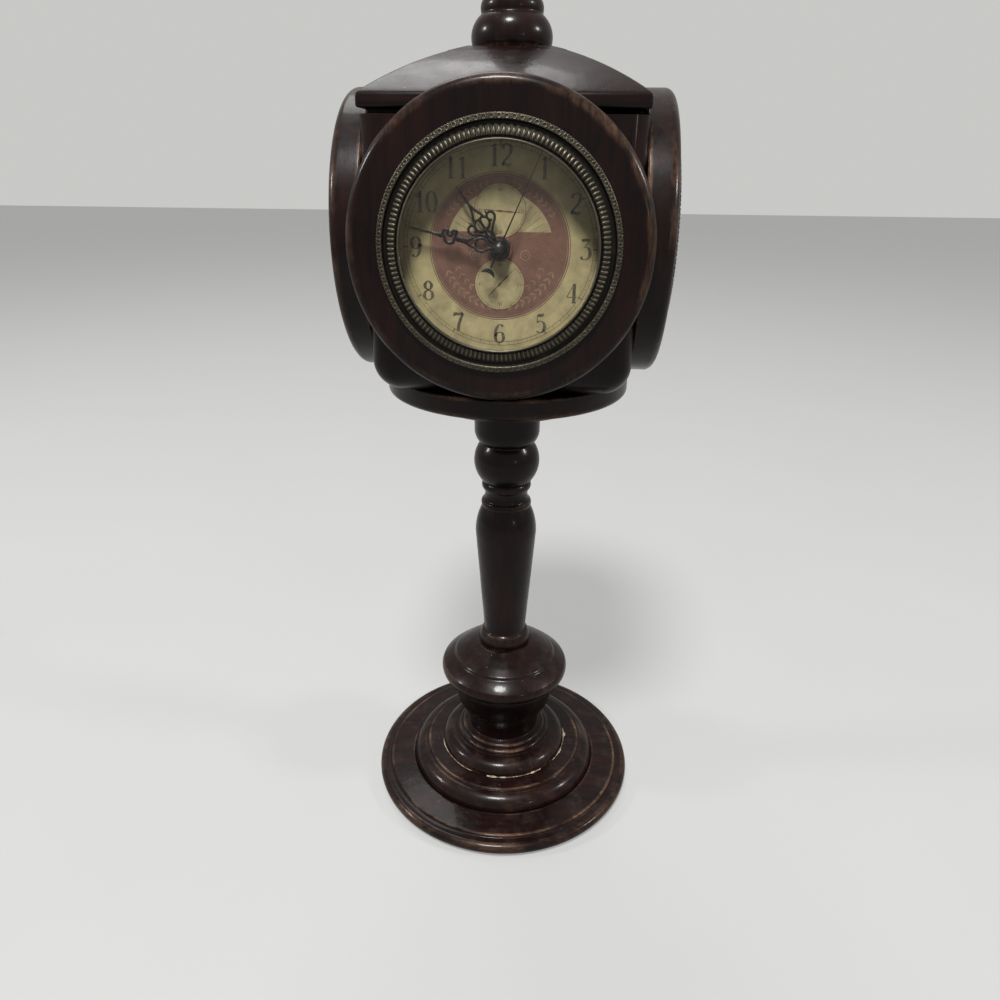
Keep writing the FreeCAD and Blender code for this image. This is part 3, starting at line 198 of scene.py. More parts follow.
class ClockDialSettings(PropertyGroup):
    """Sizes and colours of the printed dials."""

    cream: colour_setting("Cream", "Ground of the dials", 0.440, 0.362, 0.182)
    pale: colour_setting("Pale", "Small dials and the upper field", 0.400, 0.330, 0.168)
    burgundy: colour_setting("Burgundy", "Middle of the clock dial", 0.165, 0.078, 0.052)
    tan: colour_setting("Tan", "Leaves on the burgundy", 0.260, 0.165, 0.098)
    ink: colour_setting("Ink", "Numerals and ticks", 0.050, 0.037, 0.027)
    night: colour_setting("Night", "Sky of the moon disc", 0.012, 0.022, 0.105)
    numeral_height: length_setting("Numeral height", "Height of the hour numerals", 8.1 * MM)
    numeral_radius: length_setting("Numeral circle", "Radius through the hour numerals", 34.5 * MM)
    medallion_radius: length_setting("Medallion", "Radius of the burgundy middle", 28.1 * MM)
    small_dial_radius: length_setting("Small dials", "Radius of the two printed small dials", 10.4 * MM)
    small_dial_offset: length_setting("Small dial offset", "Their centres from the dial's centre", 14.2 * MM)
    hour_length: length_setting("Hour hand", "Hub to tip", 28.8 * MM)
    hour_angle: angle_setting("Hour hand's place", "Clockwise from the top", math.radians(323.5))
    minute_length: length_setting("Minute hand", "Hub to tip", 36.7 * MM)
    minute_angle: angle_setting("Minute hand's place", "Clockwise from the top", math.radians(282.4))
    hand_thickness: length_setting("Hand thickness", "Thickness of the hands", 0.5 * MM)
    hub_radius: length_setting("Hub", "Radius of the hubs of the hands", 3.6 * MM)
    nut_radius: length_setting("Nut", "Radius of the round nut on the bush", 5.2 * MM)
    nut_bore: length_setting("Nut's bore", "Radius of the hole in the nut", 4.1 * MM)
    print_step: length_setting("Print step", "Thickness of one layer of print", 0.03 * MM)


class ClockStageSettings(PropertyGroup):
    """Camera, lamps and floor."""

    lens: FloatProperty(name="Lens", description="Focal length on a 36 mm sensor, in mm", default=27.04)
    camera_height: length_setting("Camera height", "Above the floor", 0.3586)
    camera_distance: length_setting("Camera distance", "Level distance to the clock's axis", 0.3837)
    camera_azimuth: angle_setting("Camera azimuth", "Turn of the camera towards +X", math.radians(4.0))
    camera_pitch: angle_setting("Camera pitch", "Tilt below the horizon", math.radians(24.2))
    camera_roll: angle_setting("Camera roll", "Turn about the line of sight", math.radians(0.5))
    side_step: length_setting("Side step", "How far the line of sight passes left of the axis", 3.5 * MM)
    floor_colour: colour_setting("Floor", "Colour of the floor", 0.23, 0.229, 0.225)
    floor_glow: FloatProperty(
        name="Floor's paleness", description="How pale the floor is made where it is seen", default=0.29)
    floor_bounce: colour_setting(
        "Floor's bounce", "Colour in which the floor lights the clock", 0.06, 0.06, 0.06)
    backdrop: colour_setting("Backdrop", "Colour of the wall behind", 0.58, 0.58, 0.565)
    key_power: FloatProperty(name="Key lamp", description="Power of the ceiling lamp in watts", default=74.0)
    fill_power: FloatProperty(name="Fill lamps", description="Power of each side lamp in watts", default=11.0)
    low_power: FloatProperty(name="Low lamp", description="Power of the small low lamp in watts", default=0.5)
    back_power: FloatProperty(name="Back lamp", description="Power of the lamp behind in watts", default=15.0)
    sky: FloatProperty(name="Sky", description="Strength of the even light all round", default=0.07)


# Fixed tones of the finishes
WOOD_UNDER_STAIN = (0.050, 0.022, 0.013, 1.0)
BRONZE_GREEN = (0.030, 0.033, 0.020, 1.0)
FELT_LOW = (0.012, 0.022, 0.015, 1.0)
FELT_HIGH = (0.040, 0.066, 0.046, 1.0)
GLASS_TINT = (0.97, 0.985, 0.975, 1.0)
GLUE_DIRT = (0.10, 0.075, 0.045, 1.0)
FLOOR_PALE = (0.25, 0.249, 0.244, 1.0)
FLOOR_GLOW = (1.0, 0.995, 0.98, 1.0)
SKY_TINT = (0.96, 0.98, 1.0, 1.0)

# Rays by which the camera sees floor and backdrop, straight, mirrored or through glass
SEEN_BY = ("Is Camera Ray", "Is Glossy Ray", "Is Transmission Ray")


# Nodes and finishes


class Nodes:
    """A node tree under construction."""

    def __init__(self, tree):
        self.tree = tree
        self.tree.nodes.clear()

    def node(self, kind, settings=None, **values):
        """Add a node with its settings and feed its sockets; an underscore stands for a space."""
        node = self.tree.nodes.new(kind)
        for key, value in (settings or {}).items():
            setattr(node, key, value)
        for key, value in values.items():
            self.feed(node.inputs[key.replace("_", " ")], value)
        return node

    def feed(self, socket, value):
        """Link or set a socket."""
        if isinstance(value, bpy.types.NodeSocket):
            self.tree.links.new(value, socket)
        else:
            socket.default_value = value

    def out(self, kind, settings=None, **values):
        """The first output of a new node."""
        return self.node(kind, settings, **values).outputs[0]

    def math(self, operation, first, second=0.0):
        """One step of arithmetic."""
        node = self.node("ShaderNodeMath", {"operation": operation})
        self.feed(node.inputs[0], first)
        self.feed(node.inputs[1], second)
        return node.outputs[0]

    def span(self, value, low, high, to_low=0.0, to_high=1.0):
        """Move a value from one span to another, kept inside it."""
        return self.out("ShaderNodeMapRange", Value=value, From_Min=low, From_Max=high, To_Min=to_low,
                        To_Max=to_high)

    def ray(self, first, *kinds):
        """One where a ray is of one of these kinds, else zero."""
        path = self.node("ShaderNodeLightPath").outputs
        result = path[first]
        for kind in kinds:
            result = self.math("MAXIMUM", result, path[kind])
        return result

    def either(self, share, first, second):
        """One of two shaders, or a mix of both."""
        join = self.node("ShaderNodeMixShader")
        for socket, value in zip(join.inputs, (share, first, second)):
            self.feed(socket, value)
        return join.outputs[0]


class Shader(Nodes):
    """A material under construction."""

    def __init__(self, name):
        self.material = bpy.data.materials.new(name)
        self.material.use_nodes = True
        super().__init__(self.material.node_tree)
        self.surface = self.node("ShaderNodeBsdfPrincipled")
        self.output = self.node("ShaderNodeOutputMaterial", Surface=self.surface.outputs[0])
        self.place = self.node("ShaderNodeTexCoord").outputs["Object"]

    def set(self, **values):
        """Feed the surface's sockets; an underscore stands for a space."""
        for key, value in values.items():
            self.feed(self.surface.inputs[key.replace("_", " ")], value)

    def stretched(self, scale):
        """Object coordinates, stretched."""
        return self.out("ShaderNodeMapping", Vector=self.place, Scale=scale)

    def noise(self, scale, detail=4.0, roughness=0.55, place=None, distortion=0.0):
        """Noise at a scale in cells to the metre."""
        return self.out("ShaderNodeTexNoise", Vector=place or self.place, Scale=scale, Detail=detail,
                        Roughness=roughness, Distortion=distortion)

    def cells(self, scale):
        """Distance to the nearest of scattered points."""
        return self.out("ShaderNodeTexVoronoi", Vector=self.place, Scale=scale)

    def product(self, first, *others):
        """Values multiplied together."""
        for other in others:
            first = self.math("MULTIPLY", first, other)
        return first

    def mix(self, share, first, second):
        """Mix two colours."""
        node = self.node("ShaderNodeMix", {"data_type": "RGBA"}, Factor=share)
        self.feed(node.inputs[6], first)
        self.feed(node.inputs[7], second)
        return node.outputs[2]

    def wear(self):
        """The wear kept on the mesh."""
        return self.node("ShaderNodeAttribute", {"attribute_name": "wear"}).outputs["Fac"]

    def normal(self):
        """The surface's own normal."""
        return self.node("ShaderNodeNewGeometry").outputs["Normal"]

    def bump(self, height, distance, strength=1.0, **below):
        """Raise the surface by a height map."""
        return self.out("ShaderNodeBump", Strength=strength, Distance=distance, Height=height, **below)


def shade(tone, gain=1.0):
    """A colour made lighter or darker, with full alpha."""
    return (*(Vector(tone[:3]) * gain), 1.0)


def edge_by_bevel(shader, reach):
    """Edges of a piece found by rounding its normals over a reach."""
    flat, full = 0.995, 0.86
    rounded = shader.out("ShaderNodeBevel", {"samples": 6}, Radius=reach)
    agreement = shader.node("ShaderNodeVectorMath", {"operation": "DOT_PRODUCT"})
    shader.feed(agreement.inputs[0], rounded)
    shader.feed(agreement.inputs[1], shader.normal())
    return shader.span(agreement.outputs["Value"], flat, full)


def wood_material(name, stretch, by_bevel=False, wear_gain=1.0):
    """Dark stained wood under satin lacquer, rubbed to brown along its edges."""
    look = bpy.context.scene.clock_wood
    shader = Shader(name)

    # Stain in the grain
    along = shader.stretched(stretch)
    figure = shader.span(shader.noise(260, 6, 0.62, along, 0.6), 0.38, 0.66)
    fibre = shader.noise(1500, 5, 0.7, along)
    blotch = shader.span(shader.noise(28, 3, 0.5), 0.30, 0.68, 0.15)
    stain = shader.mix(shader.product(figure, blotch), look.dark, look.red)

    # Stain rubbed through in patches along the edges
    edge = edge_by_bevel(shader, look.wear_reach) if by_bevel else shader.wear()
    patch = shader.span(shader.noise(46, 4, 0.6), 0.40, 0.66)
    rub = shader.span(shader.noise(420, 5, 0.7, along), 0.30, 0.62, 0.25)
    wear = shader.span(shader.product(edge, patch, rub, wear_gain), 0.06, 0.62)
    worn = shader.mix(shader.span(fibre, 0.35, 0.65), WOOD_UNDER_STAIN, look.worn)
    colour = shader.mix(wear, stain, worn)

    # Specks and a film of dust on faces that look up
    up = shader.node("ShaderNodeSeparateXYZ", Vector=shader.normal()).outputs["Z"]
    specks = shader.span(shader.cells(330), 0.075, 0.040)
    some = shader.span(shader.noise(170, 2), 0.52, 0.60)
    settled = shader.span(shader.noise(95, 5, 0.7), 0.50, 0.74, 0.0, 0.05)
    dust = shader.math("MAXIMUM", shader.product(specks, some), settled)
    dust = shader.product(dust, shader.span(up, 0.35, 0.95))
    colour = shader.mix(dust, colour, look.dust)

    # Satin lacquer, uneven, with the pores showing through
    smear = shader.span(shader.noise(60, 5, 0.65), 0.35, 0.70, 0.24, 0.42)
    rough = shader.math("ADD", smear, shader.product(dust, 0.3))
    rough = shader.math("ADD", rough, shader.product(wear, 0.10))
    waves = shader.bump(shader.noise(75, 3, 0.5), 0.30 * MM, 0.55)
    pores = shader.bump(fibre, 0.05 * MM, 0.55, Normal=waves)
    shader.set(Base_Color=colour, Roughness=rough, Normal=pores, Specular_IOR_Level=0.08,
               Coat_Weight=0.15, Coat_Roughness=0.12, Coat_Normal=waves)
    return shader.material


def bronze_material():
    """Antique bronze: dark patina in the hollows, pale metal on the tops."""
    look = bpy.context.scene.clock_metal
    shader = Shader("antique_bronze")
    fleck = shader.noise(900, 5, 0.7)
    cloud = shader.span(shader.noise(70, 4), 0.30, 0.70, 0.45)
    share = shader.product(shader.wear(), shader.span(fleck, 0.25, 0.65, 0.55), cloud)
    colour = shader.mix(share, look.patina, look.bronze)
    green = shader.span(shader.noise(160, 4, 0.6), 0.60, 0.78, 0.0, 0.35)
    colour = shader.mix(green, colour, BRONZE_GREEN)
    shader.set(Base_Color=colour, Metallic=0.88, Roughness=shader.span(share, 0.0, 1.0, 0.52, 0.30),
               Normal=shader.bump(fleck, 0.05 * MM, 0.5))
    return shader.material


def print_material(name, tone, faded=0.25, scale=130):
    """Printed paper or paint with age spots."""
    shader = Shader(name)
    cloud = shader.span(shader.noise(scale, 6, 0.6, distortion=0.4), 0.33, 0.68)
    colour = shader.mix(cloud, shade(tone, 0.66), shade(tone, 1.12))
    foxing = shader.span(shader.noise(scale * 4, 3, 0.5), 0.64, 0.72, 0.0, faded)
    colour = shader.mix(foxing, colour, shade(tone, 0.38))
    grain = shader.noise(2600, 3)
    shader.set(Base_Color=colour, Roughness=shader.span(grain, 0.3, 0.7, 0.48, 0.62),
               Normal=shader.bump(grain, 0.015 * MM, 0.4))
    return shader.material


def ink_material():
    """Worn printing ink."""
    look = bpy.context.scene.clock_dial
    shader = Shader("printing_ink")
    patchy = shader.span(shader.noise(900, 5, 0.7), 0.42, 0.70, 0.0, 0.32)
    shader.set(Base_Color=shader.mix(patchy, look.ink, look.cream), Roughness=0.55)
    return shader.material


def enamel_material(name, tone, rough=0.30, coat=0.2):
    """Paint or moulded plastic with fine unevenness."""
    shader = Shader(name)
    cloud = shader.span(shader.noise(300, 5, 0.65), 0.3, 0.7)
    fine = shader.noise(1800, 3)
    shader.set(Base_Color=shader.mix(cloud, shade(tone, 0.8), shade(tone, 1.25)),
               Roughness=shader.span(fine, 0.3, 0.7, rough, rough + 0.12),
               Normal=shader.bump(fine, 0.02 * MM, 0.4), Specular_IOR_Level=0.25,
               Coat_Weight=coat, Coat_Roughness=0.2)
    return shader.material


def metal_material(name, tone):
    """Plain brushed metal."""
    shader = Shader(name)
    streak = shader.noise(900, 4, 0.6, shader.stretched((1.0, 1.0, 0.08)))
    shader.set(Base_Color=shader.mix(streak, shade(tone, 0.78), shade(tone)), Metallic=1.0,
               Roughness=shader.span(streak, 0.3, 0.7, 0.32, 0.46),
               Normal=shader.bump(streak, 0.02 * MM, 0.5))
    return shader.material


def felt_material():
    """Short felt pile."""
    shader = Shader("felt_pile")
    hair = shader.noise(2400, 6, 0.75)
    colour = shader.mix(shader.span(hair, 0.3, 0.7), FELT_LOW, FELT_HIGH)
    shader.set(Base_Color=colour, Roughness=0.95, Sheen_Weight=0.5, Normal=shader.bump(hair, 0.3 * MM))
    return shader.material


def glass_material():
    """Clear flat glass that lets the lamps' light through."""
    shader = Shader("clear_glass")
    smear = shader.span(shader.noise(55, 5, 0.65), 0.45, 0.75, 0.0, 0.07)
    shader.set(Base_Color=GLASS_TINT, Roughness=smear, Transmission_Weight=1.0, IOR=1.22)
    passing = shader.ray("Is Shadow Ray", "Is Diffuse Ray")
    clear = shader.out("ShaderNodeBsdfTransparent")
    shader.feed(shader.output.inputs["Surface"], shader.either(passing, shader.surface.outputs[0], clear))
    return shader.material


def glue_material():
    """Old yellowed glue."""
    look = bpy.context.scene.clock_wood
    shader = Shader("old_glue")
    colour = shader.mix(shader.span(shader.noise(500, 5, 0.7), 0.4, 0.6), GLUE_DIRT, look.glue)
    shader.set(Base_Color=colour, Roughness=0.6, Normal=shader.bump(shader.noise(900, 4), 0.1 * MM))
    return shader.material


# Mesh helpers


# Values of the outlines: the turn between two points of a round stretch, the turn that counts as a corner,
# the share of its neighbours that an eased corner may take, and the turn within reach that is fully worn
ARC_STEP = 0.07
CORNER_TURN = 0.28
CORNER_SHARE = 0.42
FULL_WEAR_TURN = 0.9
TINY = 1e-7


def on_circle(radius, turn, centre=(0.0, 0.0)):
    """A point of a circle, anticlockwise from its right."""
    return (centre[0] + radius * math.cos(turn), centre[1] + radius * math.sin(turn))


def arc_points(start, end, bulge):
    """Points from start to end along an arc that bulges to the right of its way."""
    if not bulge:
        return [end]
    reach = (1 - bulge * bulge) / (4 * bulge)
    centre = ((start[0] + end[0]) / 2 - (end[1] - start[1]) * reach,
              (start[1] + end[1]) / 2 + (end[0] - start[0]) * reach)
    first = math.atan2(start[1] - centre[1], start[0] - centre[0])
    turn = 4 * math.atan(bulge)
    count = max(3, math.ceil(abs(turn) / ARC_STEP))
    radius = math.dist(start, centre)
    return [on_circle(radius, first + turn * step / count, centre) for step in range(1, count)] + [end]


def traced(corners, closed):
    """The points of an outline of (x, y, bulge) corners."""
    points = [corners[0][:2]]
    following = corners[1:] + (corners[:1] if closed else [])
    for start, end in zip(corners, following):
        points += arc_points(start[:2], end[:2], start[2])
    return points[:-1] if closed else points


def turns_of(points, closed):
    """Signed turn of an outline at each of its points, to the left above zero."""
    result = []
    count = len(points)
    for index, here in enumerate(points):
        first = Vector(here) - Vector(points[index - 1])
        second = Vector(points[(index + 1) % count]) - Vector(here)
        at_end = not closed and index in (0, count - 1)
        still = at_end or first.length == 0 or second.length == 0
        result.append(0.0 if still else math.atan2(first.cross(second), first.dot(second)))
    return result


def eased(points, reach, closed, sharp=CORNER_TURN, steps=4):
    """Round every sharp corner of an outline over a short reach."""
    result = []
    for index, (here, turn) in enumerate(zip(points, turns_of(points, closed))):
        if abs(turn) < sharp:
            result.append(here)
            continue
        middle, low, high = Vector(here), Vector(points[index - 1]), Vector(points[(index + 1) % len(points)])
        cut = min(reach, CORNER_SHARE * (low - middle).length, CORNER_SHARE * (high - middle).length)
        first = middle + (low - middle).normalized() * cut
        last = middle + (high - middle).normalized() * cut
        for step in range(steps + 1):
            share = step / steps
            result.append(tuple(first.lerp(middle, share).lerp(middle.lerp(last, share), share)))
    return result


def wear_along(points, reach, closed):
    """Wear of each outline point: strong where the outline turns outward within reach."""
    turns = turns_of(points, closed)
    result = []
    for here in points:
        total = 0.0
        for there, turn in zip(points, turns):
            distance = math.dist(here, there)
            if distance < reach:
                total += turn * (1 - distance / reach)
        result.append(max(0.0, min(1.0, total / FULL_WEAR_TURN)))
    return result


def dense(points, closed, gap):
    """Add points so that no stretch of an outline is longer than a gap."""
    result = []
    following = points[1:] + (points[:1] if closed else [])
    for start, end in zip(points, following):
        count = max(1, math.ceil(math.dist(start, end) / gap))
        for step in range(count):
            share = step / count
            result.append((start[0] + (end[0] - start[0]) * share, start[1] + (end[1] - start[1]) * share))
    return result if closed else result + [points[-1]]


def add_turning(mesh, points, closed, segments, wear=None):
    """Turn an outline of (radius, height) points about Z inside a mesh under construction."""
    layer = mesh.verts.layers.float.new("wear") if wear else None
    rings = []
    for index, (radius, height) in enumerate(points):
        around_axis = [2 * math.pi * step / segments for step in range(segments)] if radius >= TINY else [0.0]
        ring = [mesh.verts.new((*on_circle(radius, turn), height)) for turn in around_axis]
        if wear:
            for vertex in ring:
                vertex[layer] = wear[index]
        rings.append(ring)
    for lower, upper in zip(rings, rings[1:] + (rings[:1] if closed else [])):
        for step in range(segments):
            after = (step + 1) % segments
            corners = [lower[step % len(lower)], lower[after % len(lower)],
                       upper[after % len(upper)], upper[step % len(upper)]]
            unique = list(dict.fromkeys(corners))
            if len(unique) > 2:
                mesh.faces.new(unique)


def placed(name, data, *materials):
    """An object of the scene from its data, with materials for its slots."""
    made = bpy.data.objects.new(name, data)
    bpy.context.scene.collection.objects.link(made)
    for material in materials:
        data.materials.append(material)
    return made


def finished(name, mesh, matrix, *materials, sharp=0.7):
    """An object from a mesh under construction, with its faces turned outwards."""
    bmesh.ops.recalc_face_normals(mesh, faces=mesh.faces)
    data = bpy.data.meshes.new(name)
    mesh.to_mesh(data)
    mesh.free()
    data.transform(matrix)
    data.shade_smooth()
    data.set_sharp_from_angle(angle=sharp)
    return placed(name, data, *materials)


def mitre(mesh, reach):
    """Cut a board's back off on both sides, where its neighbours begin."""
    for sign in (1, -1):
        cut = bmesh.ops.bisect_plane(
            mesh, geom=mesh.verts[:] + mesh.edges[:] + mesh.faces[:],
            plane_co=(0.0, 0.0, -reach), plane_no=(sign, 0.0, -1.0), clear_outer=True)
        edges = [item for item in cut["geom_cut"] if isinstance(item, bmesh.types.BMEdge)]
        bmesh.ops.holes_fill(mesh, edges=edges, sides=0)


def turned_piece(name, corners, closed, material, matrix=UNMOVED, mitre_reach=None):
    """A turned wooden piece with eased, worn edges."""
    look = bpy.context.scene.clock_wood
    points = eased(traced(corners, closed), look.edge_round, closed)
    points = dense(points, closed, look.wear_reach)
    mesh = bmesh.new()
    add_turning(mesh, points, closed, look.segments, wear_along(points, look.wear_reach, closed))
    if mitre_reach is not None:
        mitre(mesh, mitre_reach)
    return finished(name, mesh, matrix, material)


def reach_of(node):
    """Distance of a solid's outermost face from the axis, along the side that it faces."""
    low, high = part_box(node)
    return max(abs(low.x), abs(low.y), abs(high.x), abs(high.y))


def face_matrix(side):
    """From a dial's own plane (X right, Y up, Z out) to the frame, from the face of its board."""
    low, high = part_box(BOARDS[side])
    turn = Matrix.Rotation(math.pi / 2 * SIDES[side], 4, "Z")
    upright = Matrix.Rotation(math.pi / 2, 4, "X")
    raised = Matrix.Translation((0, 0, (low.z + high.z) / 2))
    return raised @ turn @ Matrix.Translation((0, -reach_of(BOARDS[side]), 0)) @ upright


def front_heights(node):
    """Foot and top of a solid of the front dial over the face of its board."""
    low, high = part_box(node)
    board = -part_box(BOARDS["clock"])[0].y
    return -high.y - board, -low.y - board


def settle(piece, body, slot, *nodes):
    """Attach a piece to the body that it rides on and hide the solids that it stands for. The slot is not
    used.
    """
    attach(piece, body)
    if nodes:
        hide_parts(*nodes)


def dress(node, material):
    """Give a solid of the frame a finish."""
    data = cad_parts[node].data
    data.materials.clear()
    data.materials.append(material)


def merged_copy(node, name, material, ease=0.0):
    """A copy of a solid with its triangles joined, its edges eased and its faces smooth."""
    same_place, same_plane, real_edge = 1e-6, 0.005, 0.5
    mesh = bmesh.new()
    mesh.from_mesh(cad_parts[node].data)
    bmesh.ops.remove_doubles(mesh, verts=mesh.verts, dist=same_place)
    bmesh.ops.dissolve_limit(mesh, angle_limit=same_plane, verts=mesh.verts, edges=mesh.edges)
    if ease:
        edges = [edge for edge in mesh.edges
                 if len(edge.link_faces) == 2 and edge.calc_face_angle() > real_edge]
        bmesh.ops.bevel(mesh, geom=edges, offset=ease, segments=3, profile=0.5, affect="EDGES",
                        clamp_overlap=True)
    return finished(name, mesh, UNMOVED, material, sharp=0.6)


# Geometry nodes


class Growth(Nodes):
    """A geometry node tree of copies round a circle, under construction."""

    def __init__(self, name, **inputs):
        super().__init__(bpy.data.node_groups.new(name, "GeometryNodeTree"))
        self.tree.interface.new_socket("Geometry", in_out="OUTPUT", socket_type="NodeSocketGeometry")
        shared = {"Count": "Int", "Radius": "Float", "Height": "Float", "Material": "Material"}
        for label, kind in {**shared, **inputs}.items():
            self.tree.interface.new_socket(label, in_out="INPUT", socket_type=f"NodeSocket{kind}")
        self.inputs = self.node("NodeGroupInput").outputs

    def vector(self, **values):
        """A vector from some of X, Y and Z."""
        return self.out("ShaderNodeCombineXYZ", **values)

    def rotation(self, **values):
        """A rotation from angles about some of X, Y and Z."""
        return self.out("FunctionNodeEulerToRotation", Euler=self.vector(**values))

    def moved(self, geometry, **values):
        """A geometry scaled, rotated or moved."""
        return self.out("GeometryNodeTransform", Geometry=geometry, **values)

    def facing(self, direction):
        """A rotation in the plane that points X along a direction."""
        return self.out("FunctionNodeAlignRotationToVector", {"axis": "X", "pivot_axis": "Z"},
                        Vector=direction)

    def with_wear(self, geometry, low, high):
        """Keep each point's height as wear, from none at low to full at high."""
        position = self.out("GeometryNodeInputPosition")
        height = self.node("ShaderNodeSeparateXYZ", Vector=position).outputs["Z"]
        return self.out("GeometryNodeStoreNamedAttribute", {"data_type": "FLOAT", "domain": "POINT"},
                        Geometry=geometry, Name="wear", Value=self.span(height, low, high))

    def around(self, geometry):
        """Copies of a geometry round a circle, their X pointing outward."""
        circle = self.out("GeometryNodeMeshCircle", Vertices=self.inputs["Count"],
                          Radius=self.inputs["Radius"])
        outward = self.facing(self.out("GeometryNodeInputPosition"))
        copies = self.out("GeometryNodeInstanceOnPoints", Points=circle, Instance=geometry, Rotation=outward)
        return self.moved(copies, Translation=self.vector(Z=self.inputs["Height"]))

    def end(self, geometry, smooth=True):
        """Make the copies real, give them their material and put them out."""
        real = self.out("GeometryNodeRealizeInstances", Geometry=geometry)
        shade_smooth = self.out("GeometryNodeSetShadeSmooth", Geometry=real, Shade_Smooth=smooth)
        skin = self.out("GeometryNodeSetMaterial", Geometry=shade_smooth, Material=self.inputs["Material"])
        self.node("NodeGroupOutput", Geometry=skin)
        return self.tree


def stud_tree():
    """Rounded studs round a circle."""
    tree = Growth("studs_round_a_circle", Size="Vector", Tilt="Float")
    ball = tree.out("GeometryNodeMeshUVSphere", Segments=10, Rings=7)
    bare_under, worn_over = 0.25, 0.95
    ball = tree.moved(tree.with_wear(ball, bare_under, worn_over), Scale=tree.inputs["Size"])
    return tree.end(tree.around(tree.moved(ball, Rotation=tree.rotation(Y=tree.inputs["Tilt"]))))


def eyelet_tree():
    """Small eyelets round a circle."""
    tree = Growth("eyelets_round_a_circle", Size="Float", Wire="Float", Tilt="Float")
    path = tree.out("GeometryNodeCurvePrimitiveCircle", Resolution=10, Radius=tree.inputs["Size"])
    wire = tree.out("GeometryNodeCurvePrimitiveCircle", Resolution=6, Radius=tree.inputs["Wire"])
    loop = tree.out("GeometryNodeCurveToMesh", Curve=path, Profile_Curve=wire)
    loop = tree.with_wear(loop, 0.0, 0.2 * MM)
    return tree.end(tree.around(tree.moved(loop, Rotation=tree.rotation(Y=tree.inputs["Tilt"]))))


def tick_tree():
    """Printed ticks round a circle."""
    tree = Growth("ticks_round_a_circle", Size="Vector")
    return tree.end(tree.around(tree.out("GeometryNodeMeshCube", Size=tree.inputs["Size"])), smooth=False)


def sprig_tree():
    """Leaves in pairs along an arc."""
    tree = Growth("leaves_along_an_arc", Start="Float", Sweep="Float", Leaf="Vector", Splay="Float")
    arc = tree.out("GeometryNodeCurveArc", {"mode": "RADIUS"}, Radius=tree.inputs["Radius"],
                   Start_Angle=tree.inputs["Start"], Sweep_Angle=tree.inputs["Sweep"])
    points = tree.node("GeometryNodeCurveToPoints", {"mode": "COUNT"}, Curve=arc, Count=tree.inputs["Count"])
    onward = tree.facing(points.outputs["Tangent"])
    leaf = tree.out("GeometryNodeMeshCylinder", {"fill_type": "NGON"}, Vertices=8, Radius=0.5, Depth=1.0)
    leaf = tree.moved(tree.moved(leaf, Translation=(0.55, 0.0, 0.0)), Scale=tree.inputs["Leaf"])
    join = tree.node("GeometryNodeJoinGeometry")
    for sign in (1, -1):
        splay = tree.rotation(Z=tree.math("MULTIPLY", tree.inputs["Splay"], sign))
        turned = tree.out("FunctionNodeRotateRotation", {"rotation_space": "LOCAL"}, Rotation=onward,
                          Rotate_By=splay)
        copies = tree.out("GeometryNodeInstanceOnPoints", Points=points.outputs["Points"], Instance=leaf,
                          Rotation=turned)
        tree.feed(join.inputs[0], copies)
    raised = tree.moved(join.outputs[0], Translation=tree.vector(Z=tree.inputs["Height"]))
    return tree.end(raised, smooth=False)


def grown(name, tree, values, matrix=UNMOVED):
    """A plain mesh object from a node tree and the values of its inputs."""
    carrier = placed(name + "_carrier", bpy.data.meshes.new(name + "_carrier"))
    modifier = carrier.modifiers.new("growth", "NODES")
    modifier.node_group = tree
    for socket in tree.interface.items_tree:
        if socket.in_out == "INPUT" and socket.name in values:
            modifier[socket.identifier] = values[socket.name]
    bpy.context.view_layer.update()
    graph = bpy.context.evaluated_depsgraph_get()
    data = bpy.data.meshes.new_from_object(carrier.evaluated_get(graph), depsgraph=graph)
    carrier.modifiers.clear()
    bpy.data.objects.remove(carrier)
    data.transform(matrix)
    data.name = name
    return placed(name, data)


def joined(name, pieces):
    """One object from several, with one slot for each material."""
    mesh = bmesh.new()
    materials = []
    for piece in pieces:
        data = piece.data
        if not data.materials:
            raise RuntimeError(f"{piece.name} has no material")
        data.update()
        start = len(mesh.faces)
        mesh.from_mesh(data)
        mesh.faces.ensure_lookup_table()
        for face in mesh.faces[start:]:
            material = data.materials[face.material_index]
            if material not in materials:
                materials.append(material)
            face.material_index = materials.index(material)
        bpy.data.objects.remove(piece)
    data = bpy.data.meshes.new(name)
    mesh.to_mesh(data)
    mesh.free()
    return placed(name, data, *materials)


# Turned wood


def fitted_outline(node, shares):
    """An outline in the solid's own size and place, closed to the axis."""
    low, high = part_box(node)
    radius = high.x
    rounds = 4
    for _ in range(rounds):
        outline = [(across * radius, low.z + up * (high.z - low.z), bulge) for across, up, bulge in shares]
        radius *= high.x / max(point[0] for point in traced(outline, False))
    end = [(0.0, high.z, 0.0)] if outline[-1][0] > TINY else []
    return [(0.0, low.z, 0.0)] + outline + end


class CLOCK_OT_turned_wood(Operator):
    """Make the foot, urn, column, plate, drum and finial"""

    bl_idname = "clock.turned_wood"
    bl_label = "Turned wood"

    def execute(self, context):
        """Turn each piece from its outline."""
        upright = wood_material("mahogany_upright", (1.0, 1.0, 0.09))
        level = wood_material("mahogany_level", (0.09, 1.0, 1.0))
        pieces = [
            ("foot_turning", "base_plinth", FOOT_SHARES, level, "stand"),
            ("urn_turning", "pedestal_urn", URN_SHARES, upright, "stand"),
            ("column_turning", "column", COLUMN_SHARES, upright, "stand"),
            ("plate_turning", "swivel_plate", PLATE_SHARES, level, "stand"),
            ("drum_turning", "head_collar", COLLAR_SHARES, level, "head"),
            ("finial_turning", "finial", FINIAL_SHARES, upright, "head"),
        ]
        for name, node, shares, material, body in pieces:
            made = turned_piece(name, fitted_outline(node, shares), False, material)
            settle(made, body, "wood", node)
        return {"FINISHED"}


